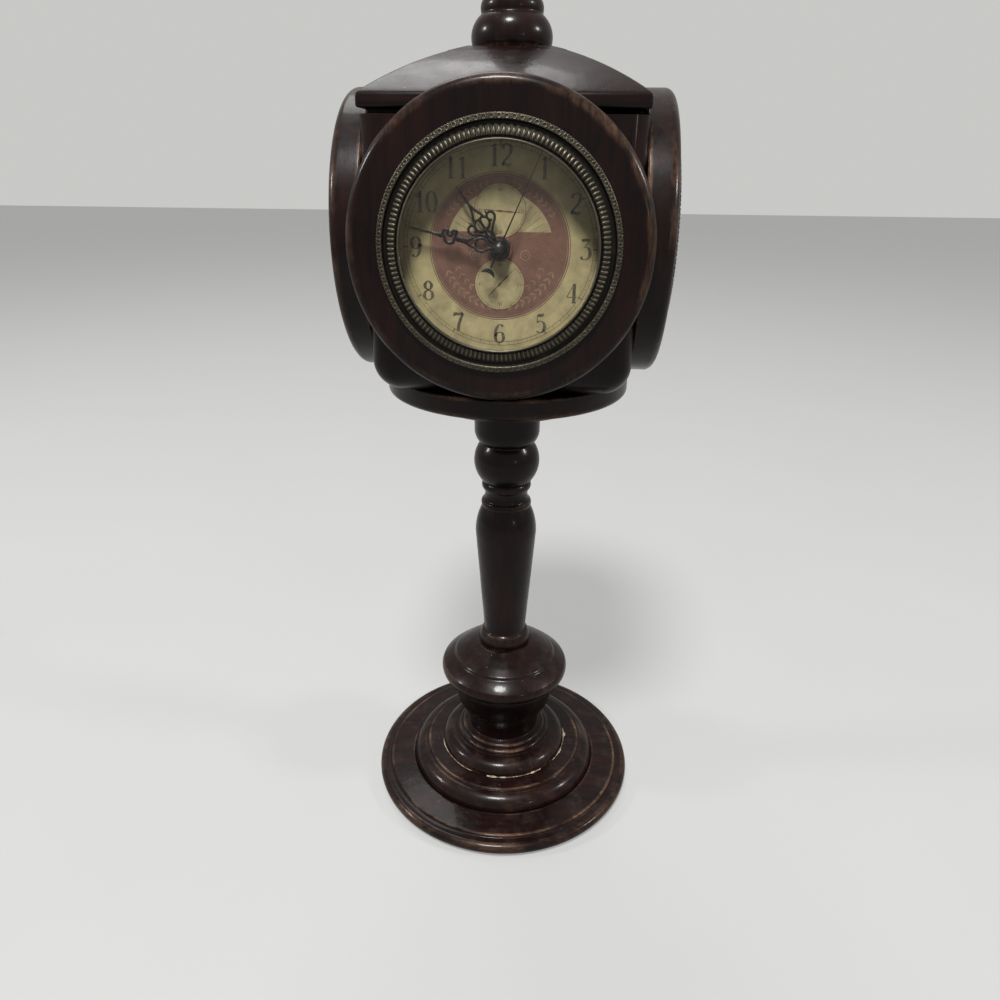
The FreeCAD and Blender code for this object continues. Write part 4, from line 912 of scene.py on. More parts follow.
# Chips of glue round the urn's foot: place in degrees from +X, spread in degrees, share of the full thickness
GLUE_CHIPS = [(4, 7.0, 1.0), (22, 5.0, 0.8), (263, 4.5, 1.0), (274, 3.0, 0.6), (302, 4.0, 0.7),
              (322, 3.5, 1.0), (340, 3.0, 0.9), (130, 8.0, 0.7), (200, 5.0, 0.5)]


class CLOCK_OT_glue_line(Operator):
    """Make the broken line of old glue round the urn's foot"""

    bl_idname = "clock.glue_line"
    bl_label = "Glue line"

    def execute(self, context):
        """Lay a thin uneven bead in the seam and leave gaps in it."""
        look = context.scene.clock_wood
        low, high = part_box("pedestal_urn")
        segments, sides = 360, 6
        mesh = bmesh.new()
        before = None
        for step in range(segments + 1):
            # Chips stand out of a faint ripple, and both waver
            angle = 2 * math.pi * step / segments
            swell = max(
                height * math.exp(-(((math.degrees(angle) - middle + 180) % 360 - 180) / spread) ** 2)
                for middle, spread, height in GLUE_CHIPS)
            ripple = 0.14 + 0.08 * math.sin(23 * angle) * math.sin(9 * angle)
            thick = look.glue_round * max(swell * (0.8 + 0.2 * math.sin(41 * angle)), ripple)
            ring = []
            for side in range(sides):
                out, up = on_circle(thick, 2 * math.pi * side / sides, (high.x + thick * 0.3, thick))
                ring.append(mesh.verts.new((*on_circle(out, angle), low.z + up / 2)))
            gap = math.sin(5 * angle + 2.2) + math.sin(11 * angle) < -0.75
            if before is not None and not gap:
                for side in range(sides):
                    after = (side + 1) % sides
                    mesh.faces.new((before[side], before[after], ring[after], ring[side]))
            before = ring
        bmesh.ops.delete(mesh, geom=[v for v in mesh.verts if not v.link_faces], context="VERTS")
        bmesh.ops.remove_doubles(mesh, verts=mesh.verts, dist=TINY)
        ends = [edge for edge in mesh.edges if edge.is_boundary]
        bmesh.ops.holes_fill(mesh, edges=ends, sides=sides)
        settle(finished("glue_line", mesh, UNMOVED, glue_material()), "stand", "wood")
        return {"FINISHED"}


class CLOCK_OT_boards(Operator):
    """Make the four round boards of the head"""

    bl_idname = "clock.boards"
    bl_label = "Boards"

    def execute(self, context):
        """Turn each board, mitre it to its neighbours and stand it on its side of the head."""
        material = wood_material("mahogany_board", (1.0, 1.0, 0.14), wear_gain=1.15)
        front_ease, back_ease = 4.0 * MM, 1.0 * MM
        bore = 45.0 * MM
        case_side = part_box("head_case")[1].x
        for side, node in BOARDS.items():
            low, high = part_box(node)
            radius = (high.z - low.z) / 2
            back = case_side - reach_of(node)
            outline = [
                (bore, back, 0.0),
                (radius - back_ease, back, QUARTER_BULGE),
                (radius, back + back_ease, 0.0),
                (radius, -front_ease, QUARTER_BULGE),
                (radius - front_ease, 0.0, 0.0),
                (bore, 0.0, 0.0),
            ]
            name = node.replace("ring", "board")
            made = turned_piece(name, outline, True, material, face_matrix(side), reach_of(node))
            settle(made, "head", "wood", node)
        return {"FINISHED"}


class CLOCK_OT_case_and_roof(Operator):
    """Finish the square case and the curved roof"""

    bl_idname = "clock.case_and_roof"
    bl_label = "Case and roof"

    def execute(self, context):
        """Join and smooth both, ease the roof's edges and stain both."""
        material = wood_material("mahogany_case", (1.0, 1.0, 0.10), by_bevel=True, wear_gain=0.35)
        roof = wood_material("mahogany_roof", (0.09, 1.0, 1.0), by_bevel=True, wear_gain=0.9)
        settle(merged_copy("head_case", "case_box", material), "head", "wood", "head_case")
        settle(merged_copy("roof_cap", "roof", roof, 1.2 * MM), "head", "wood", "roof_cap")
        return {"FINISHED"}


# Bezels

# Outline of a bezel's barrel, flange and lip: radius, height over the board and bulge of the next stretch
BEZEL_OUTLINE_MM = [
    (40.9, -3.4, 0.0),
    (41.8, -3.4, 0.0),
    (41.8, 0.0, 0.0),
    (49.0, 0.0, 0.0),
    (49.0, 0.9, 0.35),
    (48.5, 1.5, 0.0),
    (47.0, 1.9, 0.30),
    (46.5, 1.4, 0.0),
    (46.0, 0.8, 0.0),
    (45.2, 0.8, 0.0),
    (41.5, 2.3, 0.0),
    (41.2, 2.0, 0.0),
    (40.7, 2.0, 0.0),
    (40.3, 3.0, 0.40),
    (39.8, 3.2, 0.40),
    (39.5, 2.6, 0.0),
    (39.5, 2.11, 0.0),
    (40.9, 2.11, 0.0),
]


class CLOCK_OT_bezels(Operator):
    """Make the four ribbed bezels"""

    bl_idname = "clock.bezels"
    bl_label = "Bezels"

    def execute(self, context):
        """Turn the flange and grow ribs, eyelets and beads on it."""
        look = context.scene.clock_metal
        bronze = bronze_material()
        studs = stud_tree()
        edge_round, wear_reach, most_wear, segments = 0.12 * MM, 0.5 * MM, 0.9, 180
        wire_share, eyelet_tilt, bead_tilt = 0.34, 0.25, 0.8
        rows = [
            ("rib", studs, tuple(look.rib_size), look.rib_tilt),
            ("eyelet", eyelet_tree(), look.eyelet_size, eyelet_tilt),
            ("bead", studs, (look.bead_size,) * 3, bead_tilt),
        ]
        corners = [(radius * MM, height * MM, bulge) for radius, height, bulge in BEZEL_OUTLINE_MM]
        for side in SIDES:
            points = eased(traced(corners, True), edge_round, True, sharp=0.35, steps=2)
            wear = [most_wear * value for value in wear_along(points, wear_reach, True)]
            mesh = bmesh.new()
            add_turning(mesh, points, True, segments, wear)
            flange = finished(f"{side}_flange", mesh, UNMOVED, bronze)
            pieces = [flange]
            for kind, tree, size, tilt in rows:
                values = {
                    word: getattr(look, f"{kind}_{word.lower()}") for word in ("Count", "Radius", "Height")}
                pieces.append(grown(f"{side}_{kind}s", tree, {
                    **values, "Size": size, "Tilt": tilt, "Wire": look.eyelet_size * wire_share,
                    "Material": bronze}))
            made = joined(f"{side}_ribbed_bezel", pieces)
            made.data.transform(face_matrix(side))
            settle(made, f"{side}_insert", "bronze", f"{side}_bezel")
        return {"FINISHED"}


# Printed dials

# Pen strokes of the numerals in a box of height 1: points of the pen's path, then the pen's width, from 0 for
# thin to 1 for broad, or None where it follows the direction, as a broad nib's does
DIGITS = {
    "0": [([(0.30, 0.98), (0.14, 0.86), (0.07, 0.50), (0.14, 0.14), (0.30, 0.02), (0.46, 0.14), (0.53, 0.50),
            (0.46, 0.86), (0.30, 0.98)], None)],
    "1": [([(0.30, 0.98), (0.30, 0.50), (0.30, 0.02)], 1), ([(0.12, 0.84), (0.20, 0.88), (0.29, 0.97)], 0),
          ([(0.15, 0.02), (0.30, 0.02), (0.45, 0.02)], 0)],
    "2": [([(0.10, 0.74), (0.16, 0.92), (0.32, 0.98), (0.48, 0.88), (0.50, 0.68), (0.38, 0.44), (0.20, 0.24),
            (0.08, 0.05)], None), ([(0.08, 0.06), (0.22, 0.10), (0.36, 0.04), (0.52, 0.10)], 0.8)],
    "3": [([(0.10, 0.93), (0.28, 0.95), (0.50, 0.95)], 0.75), ([(0.50, 0.95), (0.38, 0.78), (0.26, 0.60)], 0),
          ([(0.26, 0.60), (0.42, 0.58), (0.53, 0.42), (0.51, 0.18), (0.36, 0.03), (0.18, 0.04), (0.09, 0.16)],
           None)],
    "4": [([(0.41, 0.98), (0.41, 0.50), (0.41, 0.02)], 1), ([(0.41, 0.98), (0.22, 0.64), (0.05, 0.30)], 0),
          ([(0.05, 0.30), (0.30, 0.30), (0.56, 0.30)], 0), ([(0.28, 0.02), (0.41, 0.02), (0.54, 0.02)], 0)],
    "5": [([(0.15, 0.93), (0.13, 0.74), (0.12, 0.55)], 0), ([(0.15, 0.93), (0.30, 0.91), (0.47, 0.97)], 0.8),
          ([(0.12, 0.55), (0.28, 0.63), (0.46, 0.54), (0.52, 0.32), (0.44, 0.10), (0.28, 0.02), (0.11, 0.10)],
           None)],
    "6": [([(0.48, 0.86), (0.38, 0.97), (0.24, 0.92), (0.12, 0.70), (0.08, 0.40), (0.14, 0.12), (0.30, 0.02),
            (0.46, 0.12), (0.52, 0.32), (0.45, 0.52), (0.31, 0.58), (0.16, 0.50), (0.09, 0.34)], None)],
    "7": [([(0.07, 0.80), (0.09, 0.93), (0.28, 0.90), (0.52, 0.94)], 0.8),
          ([(0.52, 0.94), (0.40, 0.66), (0.30, 0.36), (0.26, 0.02)], None)],
    "8": [([(0.30, 0.54), (0.16, 0.64), (0.14, 0.82), (0.30, 0.98), (0.46, 0.82), (0.44, 0.64), (0.30, 0.54),
            (0.13, 0.42), (0.10, 0.18), (0.30, 0.02), (0.50, 0.18), (0.47, 0.42), (0.30, 0.54)], None)],
}
BROAD_PEN = 0.165
THIN_PEN = 0.038
DIGIT_STEP = 0.58


def curve_through(points, steps=5):
    """A smooth line through points."""
    padded = [points[0]] + list(points) + [points[-1]]
    line = []
    for first, second, third, fourth in zip(padded, padded[1:], padded[2:], padded[3:]):
        a, b, c, d = Vector(first), Vector(second), Vector(third), Vector(fourth)
        for step in range(steps):
            t = step / steps
            place = 0.5 * (2 * b + (c - a) * t + (2 * a - 5 * b + 4 * c - d) * t * t
                           + (3 * b - a - 3 * c + d) * t * t * t)
            line.append(place)
    return line + [Vector(points[-1])]


class Print:
    """Thin printed shapes on one dial, each a flat closed plate."""

    def __init__(self, side, floor):
        self.side = side
        self.floor = floor
        self.step = bpy.context.scene.clock_dial.print_step
        self.mesh = bmesh.new()
        self.materials = []

    def index(self, material):
        """The slot of a material."""
        if material not in self.materials:
            self.materials.append(material)
        return self.materials.index(material)

    def plate(self, points, layer, material):
        """A flat plate with an outline."""
        low = self.floor + self.step * layer
        below = [self.mesh.verts.new((x, y, low)) for x, y in points]
        above = [self.mesh.verts.new((x, y, low + self.step)) for x, y in points]
        faces = [self.mesh.faces.new(above), self.mesh.faces.new(below[::-1])]
        count = len(points)
        for number in range(count):
            after = (number + 1) % count
            faces.append(self.mesh.faces.new((below[number], below[after], above[after], above[number])))
        for face in faces:
            face.material_index = self.index(material)

    def band(self, line, widths, layer, material):
        """A plate along a line with a width at each of its points."""
        left, right = [], []
        for number, place in enumerate(line):
            before = line[max(0, number - 1)]
            after = line[min(len(line) - 1, number + 1)]
            onward = (after - before).normalized()
            across = Vector((-onward.y, onward.x)) * widths[number] / 2
            left.append(tuple(place + across))
            right.append(tuple(place - across))
        for number in range(len(line) - 1):
            corners = [right[number], right[number + 1], left[number + 1], left[number]]
            self.plate(corners, layer, material)

    def ring(self, centre, inner, outer, layer, material, segments=96, start=0.0, sweep=2 * math.pi):
        """A flat ring, a disc where the inner radius is zero, or a part of one."""
        steps = segments if sweep >= 2 * math.pi else segments + 1
        angles = [start + sweep * number / segments for number in range(steps)]
        rim = [on_circle(outer, a, centre) for a in angles]
        if not inner:
            self.plate(rim, layer, material)
            return
        core = [on_circle(inner, a, centre) for a in angles]
        for number in range(segments):
            after = (number + 1) % steps
            self.plate([rim[number], rim[after], core[after], core[number]], layer, material)

    def circles(self, layer, material, radii, *arc):
        """Fine rings about the dial's centre, from their radii in millimetres."""
        for inner, outer in radii:
            self.ring((0, 0), inner * MM, outer * MM, layer, material, 120, *arc)

    def tick(self, clockwise, inner, outer, width, layer, material):
        """A straight tick between two radii in millimetres."""
        line = [Vector(around_dial(radius * MM, clockwise)) for radius in (inner, outer)]
        self.band(line, [width * MM] * 2, layer, material)

    def word(self, digits, centre, height, layer, material, turn=0.0):
        """Digits in a row, about a centre."""
        turned = Matrix.Rotation(turn, 2)
        start = -DIGIT_STEP * len(digits) / 2
        for place, digit in enumerate(digits):
            flip = digit == "9"
            for points, weight in DIGITS["6" if flip else digit]:
                line = curve_through(points)
                widths = []
                for number, point in enumerate(line):
                    onward = line[min(len(line) - 1, number + 1)] - line[max(0, number - 1)]
                    steep = abs(onward.y) / max(onward.length, TINY)
                    share = steep ** 2 if weight is None else weight
                    widths.append((THIN_PEN + (BROAD_PEN - THIN_PEN) * share) * height)
                if flip:
                    # A nine is a six turned half way round
                    line = [Vector((DIGIT_STEP + 0.02, 1.0)) - point for point in line]
                corner = Vector((start + place * DIGIT_STEP, -0.5))
                line = [turned @ ((point + corner) * height) + Vector(centre) for point in line]
                self.band(line, widths, layer, material)

    def object(self, name):
        """The finished print as an object."""
        return finished(name, self.mesh, face_matrix(self.side), *self.materials, sharp=0.3)


# Inner and outer radii of the two fine rings that hold the minutes
MINUTE_TRACK_MM = [(37.9, 38.05), (39.35, 39.5)]


def around_dial(radius, clockwise, centre=(0.0, 0.0)):
    """A place on a dial at a radius, clockwise from the top in degrees."""
    angle = math.radians(clockwise)
    return (centre[0] + radius * math.sin(angle), centre[1] + radius * math.cos(angle))


def dial_floor(side):
    """Height of a dial's face from the face of its board."""
    low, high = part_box(f"{side}_dial")
    return (-low.y, high.x, high.y, -low.x)[SIDES[side]] - reach_of(BOARDS[side])


class CLOCK_OT_clock_dial(Operator):
    """Print the front dial"""

    bl_idname = "clock.clock_dial"
    bl_label = "Clock dial"

    def execute(self, context):
        """Lay the medallion, small dials, leaves, numerals and ticks on the cream ground."""
        look = context.scene.clock_dial
        cream = print_material("cream_print", look.cream, 0.30)
        pale = print_material("pale_print", look.pale, 0.22, 170)
        burgundy = print_material("burgundy_print", look.burgundy, 0.45, 210)
        tan = print_material("tan_print", look.tan, 0.5, 260)
        ink = ink_material()
        brown = print_material("brown_ink", (0.13, 0.055, 0.030), 0.3, 400)
        dress("clock_dial", cream)
        floor = dial_floor("clock")
        sheet = Print("clock", floor)
        radius = look.medallion_radius
        sheet.ring((0, 0), 0, radius, 0, burgundy, 120)
        sheet.ring((0, 0), radius + 0.35 * MM, radius + 0.65 * MM, 0, brown, 120)
        sheet.ring((0, 0), radius - 0.9 * MM, radius - 0.65 * MM, 1, tan, 120)
        self.upper_field(sheet, radius * 0.77, pale, tan)
        for sign, clockwise in ((1, 94.0), (-1, 44.0)):
            centre = (0.0, sign * look.small_dial_offset)
            self.small_dial(sheet, centre, look.small_dial_radius, clockwise, pale, brown)
        hole_across, hole_up = 10.3 * MM, -2.6 * MM
        for sign in (1, -1):
            for layer, (reach, tone) in enumerate(((2.1, tan), (1.6, brown), (0.95, tan), (0.6, ink)), 3):
                sheet.ring((sign * hole_across, hole_up), 0, reach * MM, layer, tone, 32)
        for hour in range(1, 13):
            place = around_dial(look.numeral_radius, hour * 30.0)
            sheet.word(str(hour), place, look.numeral_height, 1, ink)
        sheet.circles(1, ink, MINUTE_TRACK_MM)
        settle(sheet.object("clock_print"), "clock_insert", "clock_face")
        self.growths(look, floor, ink, tan)
        return {"FINISHED"}

    @staticmethod
    def upper_field(sheet, radius, pale, line):
        """The pale half round in the upper part of the medallion, with fine rays."""
        low = math.radians(17)
        steps, rays, ray_end = 32, 19, 0.94
        turns = [low + (math.pi - 2 * low) * number / steps for number in range(steps + 1)]
        sheet.plate([on_circle(radius, turn) for turn in turns], 1, pale)
        for number in range(rays):
            turn = low + (math.pi - 2 * low) * (number + 0.5) / rays
            inner = 0.60 if number % 2 else 0.50
            ends = [Vector(on_circle(radius * share, turn)) for share in (inner, ray_end)]
            sheet.band(ends, [0.10 * MM, 0.34 * MM], 2, line)

    @staticmethod
    def small_dial(sheet, centre, radius, clockwise, pale, brown):
        """A printed small dial: two rings, a hand, dots and four numbers."""
        dots, numbers, hand = radius - 0.65 * MM, radius - 2.4 * MM, radius * 0.86
        sheet.ring(centre, 0, radius, 3, pale, 64)
        sheet.ring(centre, radius - 0.25 * MM, radius, 4, brown, 64)
        sheet.ring(centre, radius - 1.1 * MM, radius - 1.0 * MM, 4, brown, 64)
        shares = (-0.78, -0.45, -0.2, 0.0, 0.2, 0.45, 0.62, 1.0)
        line = [Vector(around_dial(hand * share, clockwise, centre)) for share in shares]
        widths = [width * MM for width in (0.12, 0.5, 0.25, 0.9, 0.35, 0.75, 0.25, 0.08)]
        sheet.band(line, widths, 5, brown)
        for number in range(1, 13):
            sheet.ring(around_dial(dots, number * 30.0, centre), 0, 0.22 * MM, 4, brown, 8)
        for number in (3, 6, 9, 12):
            sheet.word(str(number * 5), around_dial(numbers, number * 30.0, centre), 1.5 * MM, 4, brown)

    @staticmethod
    def growths(look, floor, ink, tan):
        """Grow the ticks of the minutes and hours, and the leaves on the medallion."""
        step = look.print_step
        ticks, leaves = tick_tree(), sprig_tree()
        made = []
        for name, count, radius, long, wide, layer in (
                ("clock_minutes", 60, 38.7, 1.3, 0.16, 0.5), ("clock_hours", 12, 38.6, 1.9, 0.42, 1.5)):
            made.append(grown(name, ticks, {
                "Count": count, "Radius": radius * MM, "Height": floor + layer * step,
                "Size": (long * MM, wide * MM, step), "Material": ink}, face_matrix("clock")))
        slender, splay, leaf_layer = 0.34, 0.62, 2.5
        lower, upper = ((0.83, 2.6), (0.68, 2.0)), ((0.87, 2.0),)
        for number, (start, sweep, rows) in enumerate((
                (-2.75, 0.95, lower), (-0.39, -0.95, lower), (2.62, -0.80, upper), (0.52, 0.80, upper))):
            for row, (share, leaf) in enumerate(rows):
                made.append(grown(f"leaves_{number}_{row}", leaves, {
                    "Count": 9 - 2 * row, "Radius": look.medallion_radius * share, "Start": start,
                    "Sweep": sweep, "Leaf": (leaf * MM, leaf * slender * MM, step), "Splay": splay,
                    "Height": floor + step * leaf_layer, "Material": tan}, face_matrix("clock")))
        settle(joined("clock_ticks_and_leaves", made), "clock_insert", "clock_face")


# Days from one new moon to the next, and the turn that spreads points evenly, in radians
DAYS_OF_A_MOON = 29.5
GOLDEN_ANGLE = 2.39996


class CLOCK_OT_moon_dial(Operator):
    """Print the dial of the moon's age"""

    bl_idname = "clock.moon_dial"
    bl_label = "Moon dial"

    def execute(self, context):
        """Print the scale of days, and stars and moons on the disc behind the window."""
        look = context.scene.clock_dial
        dress("moon_dial", bpy.data.materials["cream_print"])
        dress("moon_disc", print_material("night_print", look.night, 0.3, 160))
        ink = bpy.data.materials["printing_ink"]
        brown = bpy.data.materials["brown_ink"]
        day_circle, day_height, day_dot = 34.2 * MM, 4.3 * MM, 0.5 * MM
        sheet = Print("moon", dial_floor("moon"))
        sheet.circles(0, ink, MINUTE_TRACK_MM + [(30.6, 30.8)])
        for day in range(1, 30):
            clockwise = day * 360 / DAYS_OF_A_MOON
            place = around_dial(day_circle, clockwise)
            if day % 2:
                sheet.word(str(day), place, day_height, 0, ink, -math.radians(clockwise))
            else:
                sheet.ring(place, 0, day_dot, 0, brown, 16)
        half_days = round(2 * DAYS_OF_A_MOON)
        for number in range(half_days):
            sheet.tick(number * 360 / half_days, 38.1, 39.3, 0.18, 0, ink)
        settle(sheet.object("moon_print"), "moon_insert", "moon_face")
        self.sky()
        return {"FINISHED"}

    @staticmethod
    def sky():
        """Two moons and scattered stars on the turning disc."""
        gold = print_material("gold_print", (0.62, 0.46, 0.17), 0.35, 300)
        moon = print_material("moon_print", (0.70, 0.56, 0.26), 0.10, 150)
        sheet = Print("moon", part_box("moon_disc")[1].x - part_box(BOARDS["moon"])[1].x)
        moon_circle, moon_turn, moon_radius, clearance = 17.4 * MM, 20.0, 7.5 * MM, 1.1 * MM
        craters, crater_turn, stars, star_field, notch = 5, 2.4, 46, 29.0 * MM, 0.42
        centres = [around_dial(sign * moon_circle, moon_turn) for sign in (1, -1)]
        for centre in centres:
            sheet.ring(centre, 0, moon_radius, 0, moon, 48)
            for number in range(craters):
                spot = on_circle((1.2 + 0.9 * number) * MM, number * crater_turn, centre)
                sheet.ring(spot, 0, (1.1 - 0.14 * number) * MM, 1, gold, 14)
        for number in range(stars):
            radius = (7.0 + 3.15 * math.sqrt(number)) * MM
            place = around_dial(radius, math.degrees(number * GOLDEN_ANGLE))
            clear = all(math.dist(place, centre) > moon_radius + clearance for centre in centres)
            if clear and radius < star_field:
                size = (0.55 + 0.35 * (number % 3)) * MM
                star = [around_dial(size * (notch if corner % 2 else 1.0), -36.0 * corner, place)
                        for corner in range(1, 11)]
                sheet.plate(star, 0, gold)
        settle(sheet.object("moon_sky"), "moon_disc", "night_sky")


class CLOCK_OT_weather_dials(Operator):
    """Print the two weather dials"""

    bl_idname = "clock.weather_dials"
    bl_label = "Weather dials"

    def execute(self, context):
        """Print an arc, ticks and numbers on each, and a coloured comfort arc."""
        ink, brown, burgundy, tan = (
            bpy.data.materials[name] for name in ("printing_ink", "brown_ink", "burgundy_print", "tan_print"))
        number_circle, number_height, comfort_share = 28.8 * MM, 4.6 * MM, 0.2
        for side, (last, steps) in {"temperature": (120.0, 80), "humidity": (135.0, 100)}.items():
            dress(f"{side}_dial", bpy.data.materials["cream_print"])
            sheet = Print(side, dial_floor(side))
            half = math.radians(last)
            sheet.circles(0, ink, [(33.2, 33.4), (37.6, 37.9)], math.pi / 2 - half, 2 * half)
            for number in range(steps + 1):
                clockwise = last * (2 * number / steps - 1)
                if number % 10:
                    sheet.tick(clockwise, 35.6, 37.6, 0.16, 0, ink)
                else:
                    sheet.tick(clockwise, 33.4, 37.6, 0.42, 0, ink)
                    sheet.word(str(number), around_dial(number_circle, clockwise), number_height, 0, ink)
            comfort = half * comfort_share
            sheet.ring((0, 0), 21.6 * MM, 23.4 * MM, 0, burgundy, 48, math.pi / 2 - comfort, 2 * comfort)
            sheet.ring((0, 0), 13.0 * MM, 13.3 * MM, 0, brown, 72)
            sheet.ring((0, 0), 9.0 * MM, 12.2 * MM, 0, tan, 72)
            settle(sheet.object(f"{side}_print"), f"{side}_insert", "weather_face")
        return {"FINISHED"}


# Strands of the cast hands as shares of the hand's length: along it, to its right and the strand's width. The
# first word says whether the strand lies on both sides of the hand.
HOUR_STRAND_SHARES = [
    ("both", [(0.050, 0.010, 0.050), (0.130, 0.030, 0.044), (0.210, 0.046, 0.040), (0.256, 0.062, 0.038),
              (0.300, 0.105, 0.034), (0.332, 0.148, 0.034), (0.377, 0.196, 0.036), (0.430, 0.212, 0.038),
              (0.474, 0.180, 0.036), (0.470, 0.130, 0.034), (0.430, 0.104, 0.032), (0.385, 0.118, 0.030),
              (0.372, 0.150, 0.034)]),
    ("both", [(0.466, 0.150, 0.034), (0.495, 0.128, 0.026), (0.535, 0.145, 0.008)]),
    ("both", [(0.315, 0.012, 0.036), (0.325, 0.060, 0.036), (0.365, 0.100, 0.036), (0.415, 0.108, 0.036),
              (0.460, 0.090, 0.038), (0.485, 0.048, 0.036), (0.465, 0.012, 0.034), (0.395, 0.003, 0.030),
              (0.330, 0.004, 0.034)]),
    ("both", [(0.475, 0.070, 0.036), (0.520, 0.062, 0.036), (0.570, 0.040, 0.036), (0.640, 0.012, 0.038)]),
    ("both", [(0.200, 0.030, 0.036), (0.245, 0.034, 0.034), (0.285, 0.018, 0.036), (0.320, 0.004, 0.040)]),
    ("middle", [(0.480, 0.000, 0.034), (0.500, 0.000, 0.010)]),
    ("middle", [(0.615, 0.000, 0.062), (0.650, 0.000, 0.066), (0.685, 0.000, 0.046), (0.715, 0.000, 0.034),
                (0.750, 0.000, 0.036), (0.778, 0.000, 0.050), (0.800, 0.000, 0.040), (0.835, 0.000, 0.028),
                (0.910, 0.000, 0.022), (1.000, 0.000, 0.010)]),
]
MINUTE_STRAND_SHARES = [
    ("both", [(0.050, 0.006, 0.050), (0.110, 0.020, 0.034), (0.145, 0.050, 0.030), (0.190, 0.068, 0.030),
              (0.240, 0.062, 0.030), (0.275, 0.036, 0.030), (0.315, 0.038, 0.028), (0.350, 0.018, 0.036),
              (0.362, 0.000, 0.040)]),
    ("both", [(0.262, 0.030, 0.030), (0.262, 0.000, 0.028)]),
    ("middle", [(0.355, 0.000, 0.060), (0.375, 0.000, 0.074), (0.395, 0.000, 0.054), (0.415, 0.000, 0.066),
                (0.435, 0.000, 0.050), (0.455, 0.000, 0.062), (0.480, 0.000, 0.044), (0.500, 0.004, 0.038)]),
    ("middle", [(0.480, 0.006, 0.036), (0.500, 0.040, 0.034), (0.485, 0.062, 0.030), (0.505, 0.078, 0.034),
                (0.535, 0.064, 0.034), (0.535, 0.024, 0.032), (0.560, 0.016, 0.030), (0.590, 0.032, 0.032),
                (0.585, 0.058, 0.034), (0.606, 0.066, 0.034), (0.632, 0.046, 0.034), (0.640, 0.010, 0.034)]),
    ("middle", [(0.505, 0.010, 0.034), (0.500, -0.030, 0.034), (0.525, -0.058, 0.034), (0.565, -0.062, 0.034),
                (0.600, -0.042, 0.034), (0.612, -0.008, 0.034), (0.640, 0.002, 0.036)]),
    ("middle", [(0.625, 0.000, 0.040), (0.655, 0.000, 0.056), (0.680, 0.000, 0.036), (0.700, 0.000, 0.042),
                (0.720, 0.000, 0.030), (0.860, 0.000, 0.026), (1.000, 0.000, 0.014)]),
]


def lay_strand(mesh, points, middle, thick):
    """An oval tube through points of (x, y, width), closed at its ends."""
    sides = 8
    line = curve_through(points, 4)
    rings = []
    for number, place in enumerate(line):
        onward = line[min(len(line) - 1, number + 1)] - line[max(0, number - 1)]
        across = Vector((onward.y, -onward.x)).normalized() * place[2] / 2
        ring = []
        for side in range(sides):
            aside, up = on_circle(1.0, 2 * math.pi * side / sides)
            spot = place.xy + across * aside
            ring.append(mesh.verts.new((spot.x, spot.y, middle + up * thick / 2)))
        rings.append(ring)
    for lower, upper in zip(rings, rings[1:]):
        for side in range(sides):
            after = (side + 1) % sides
            mesh.faces.new((lower[side], lower[after], upper[after], upper[side]))
    mesh.faces.new(rings[0][::-1])
    mesh.faces.new(rings[-1])


class CLOCK_OT_hands_and_lenses(Operator):
    """Cast the pierced hands and finish the pointers and lenses"""

    bl_idname = "clock.hands_and_lenses"
    bl_label = "Hands and lenses"

    def execute(self, context):
        """Lay the strands of both hands round their hubs, enamel all hands and clear the lenses."""
        look = context.scene.clock_dial
        black = enamel_material("black_enamel", (0.0065, 0.0050, 0.0042), 0.36, 0.05)
        for name, strands, bore, pipe in (
                ("hour", HOUR_STRAND_SHARES, 1.6 * MM, 2.5 * MM),
                ("minute", MINUTE_STRAND_SHARES, 0.6 * MM, 1.5 * MM)):
            length, clockwise = getattr(look, f"{name}_length"), getattr(look, f"{name}_angle")
            self.cast(f"{name}_hand", strands, length, clockwise, bore, pipe, black)
        for node in ("second_hand", "moon_hand", "temperature_pointer", "humidity_pointer"):
            dress(node, black)
        foot, top = front_heights("clock_nut")
        bore, rim = look.nut_bore, look.nut_radius
        outline = [(bore, foot, 0.0), (rim, foot, 0.0), (rim, top, 0.0), (bore, top, 0.0)]
        mesh = bmesh.new()
        add_turning(mesh, eased(traced(outline, True), 0.4 * MM, True), True, 64)
        nut = finished("round_nut", mesh, face_matrix("clock"), bpy.data.materials["burgundy_print"])
        settle(nut, "clock_insert", "clock_face", "clock_nut")
        glass = glass_material()
        for side in SIDES:
            dress(f"{side}_lens", glass)
        return {"FINISHED"}

    @staticmethod
    def cast(node, strands, length, clockwise, bore, pipe, material):
        """One hand of strands on its hub and pipe, in the height of its solid."""
        look = bpy.context.scene.clock_dial
        thick, hub = look.hand_thickness, look.hub_radius
        foot, top = front_heights(node)
        along = Vector((math.sin(clockwise), math.cos(clockwise)))
        right = Vector((along.y, -along.x))
        mesh = bmesh.new()
        for spread, points in strands:
            for sign in (1, -1) if spread == "both" else (1,):
                line = []
                for onward, aside, width in points:
                    place = (along * onward + right * aside * sign) * length
                    line.append((place.x, place.y, width * length))
                lay_strand(mesh, line, top - thick / 2, thick * 1.15)
        under = top - thick
        places = [(bore, foot), (pipe, foot), (pipe, under), (hub, under), (hub, top), (bore, top)]
        outline = [(radius, height, 0.0) for radius, height in places]
        add_turning(mesh, eased(traced(outline, True), 0.1 * MM, True), True, 48)
        settle(finished(f"{node}_casting", mesh, face_matrix("clock"), material), node, "black_hand", node)


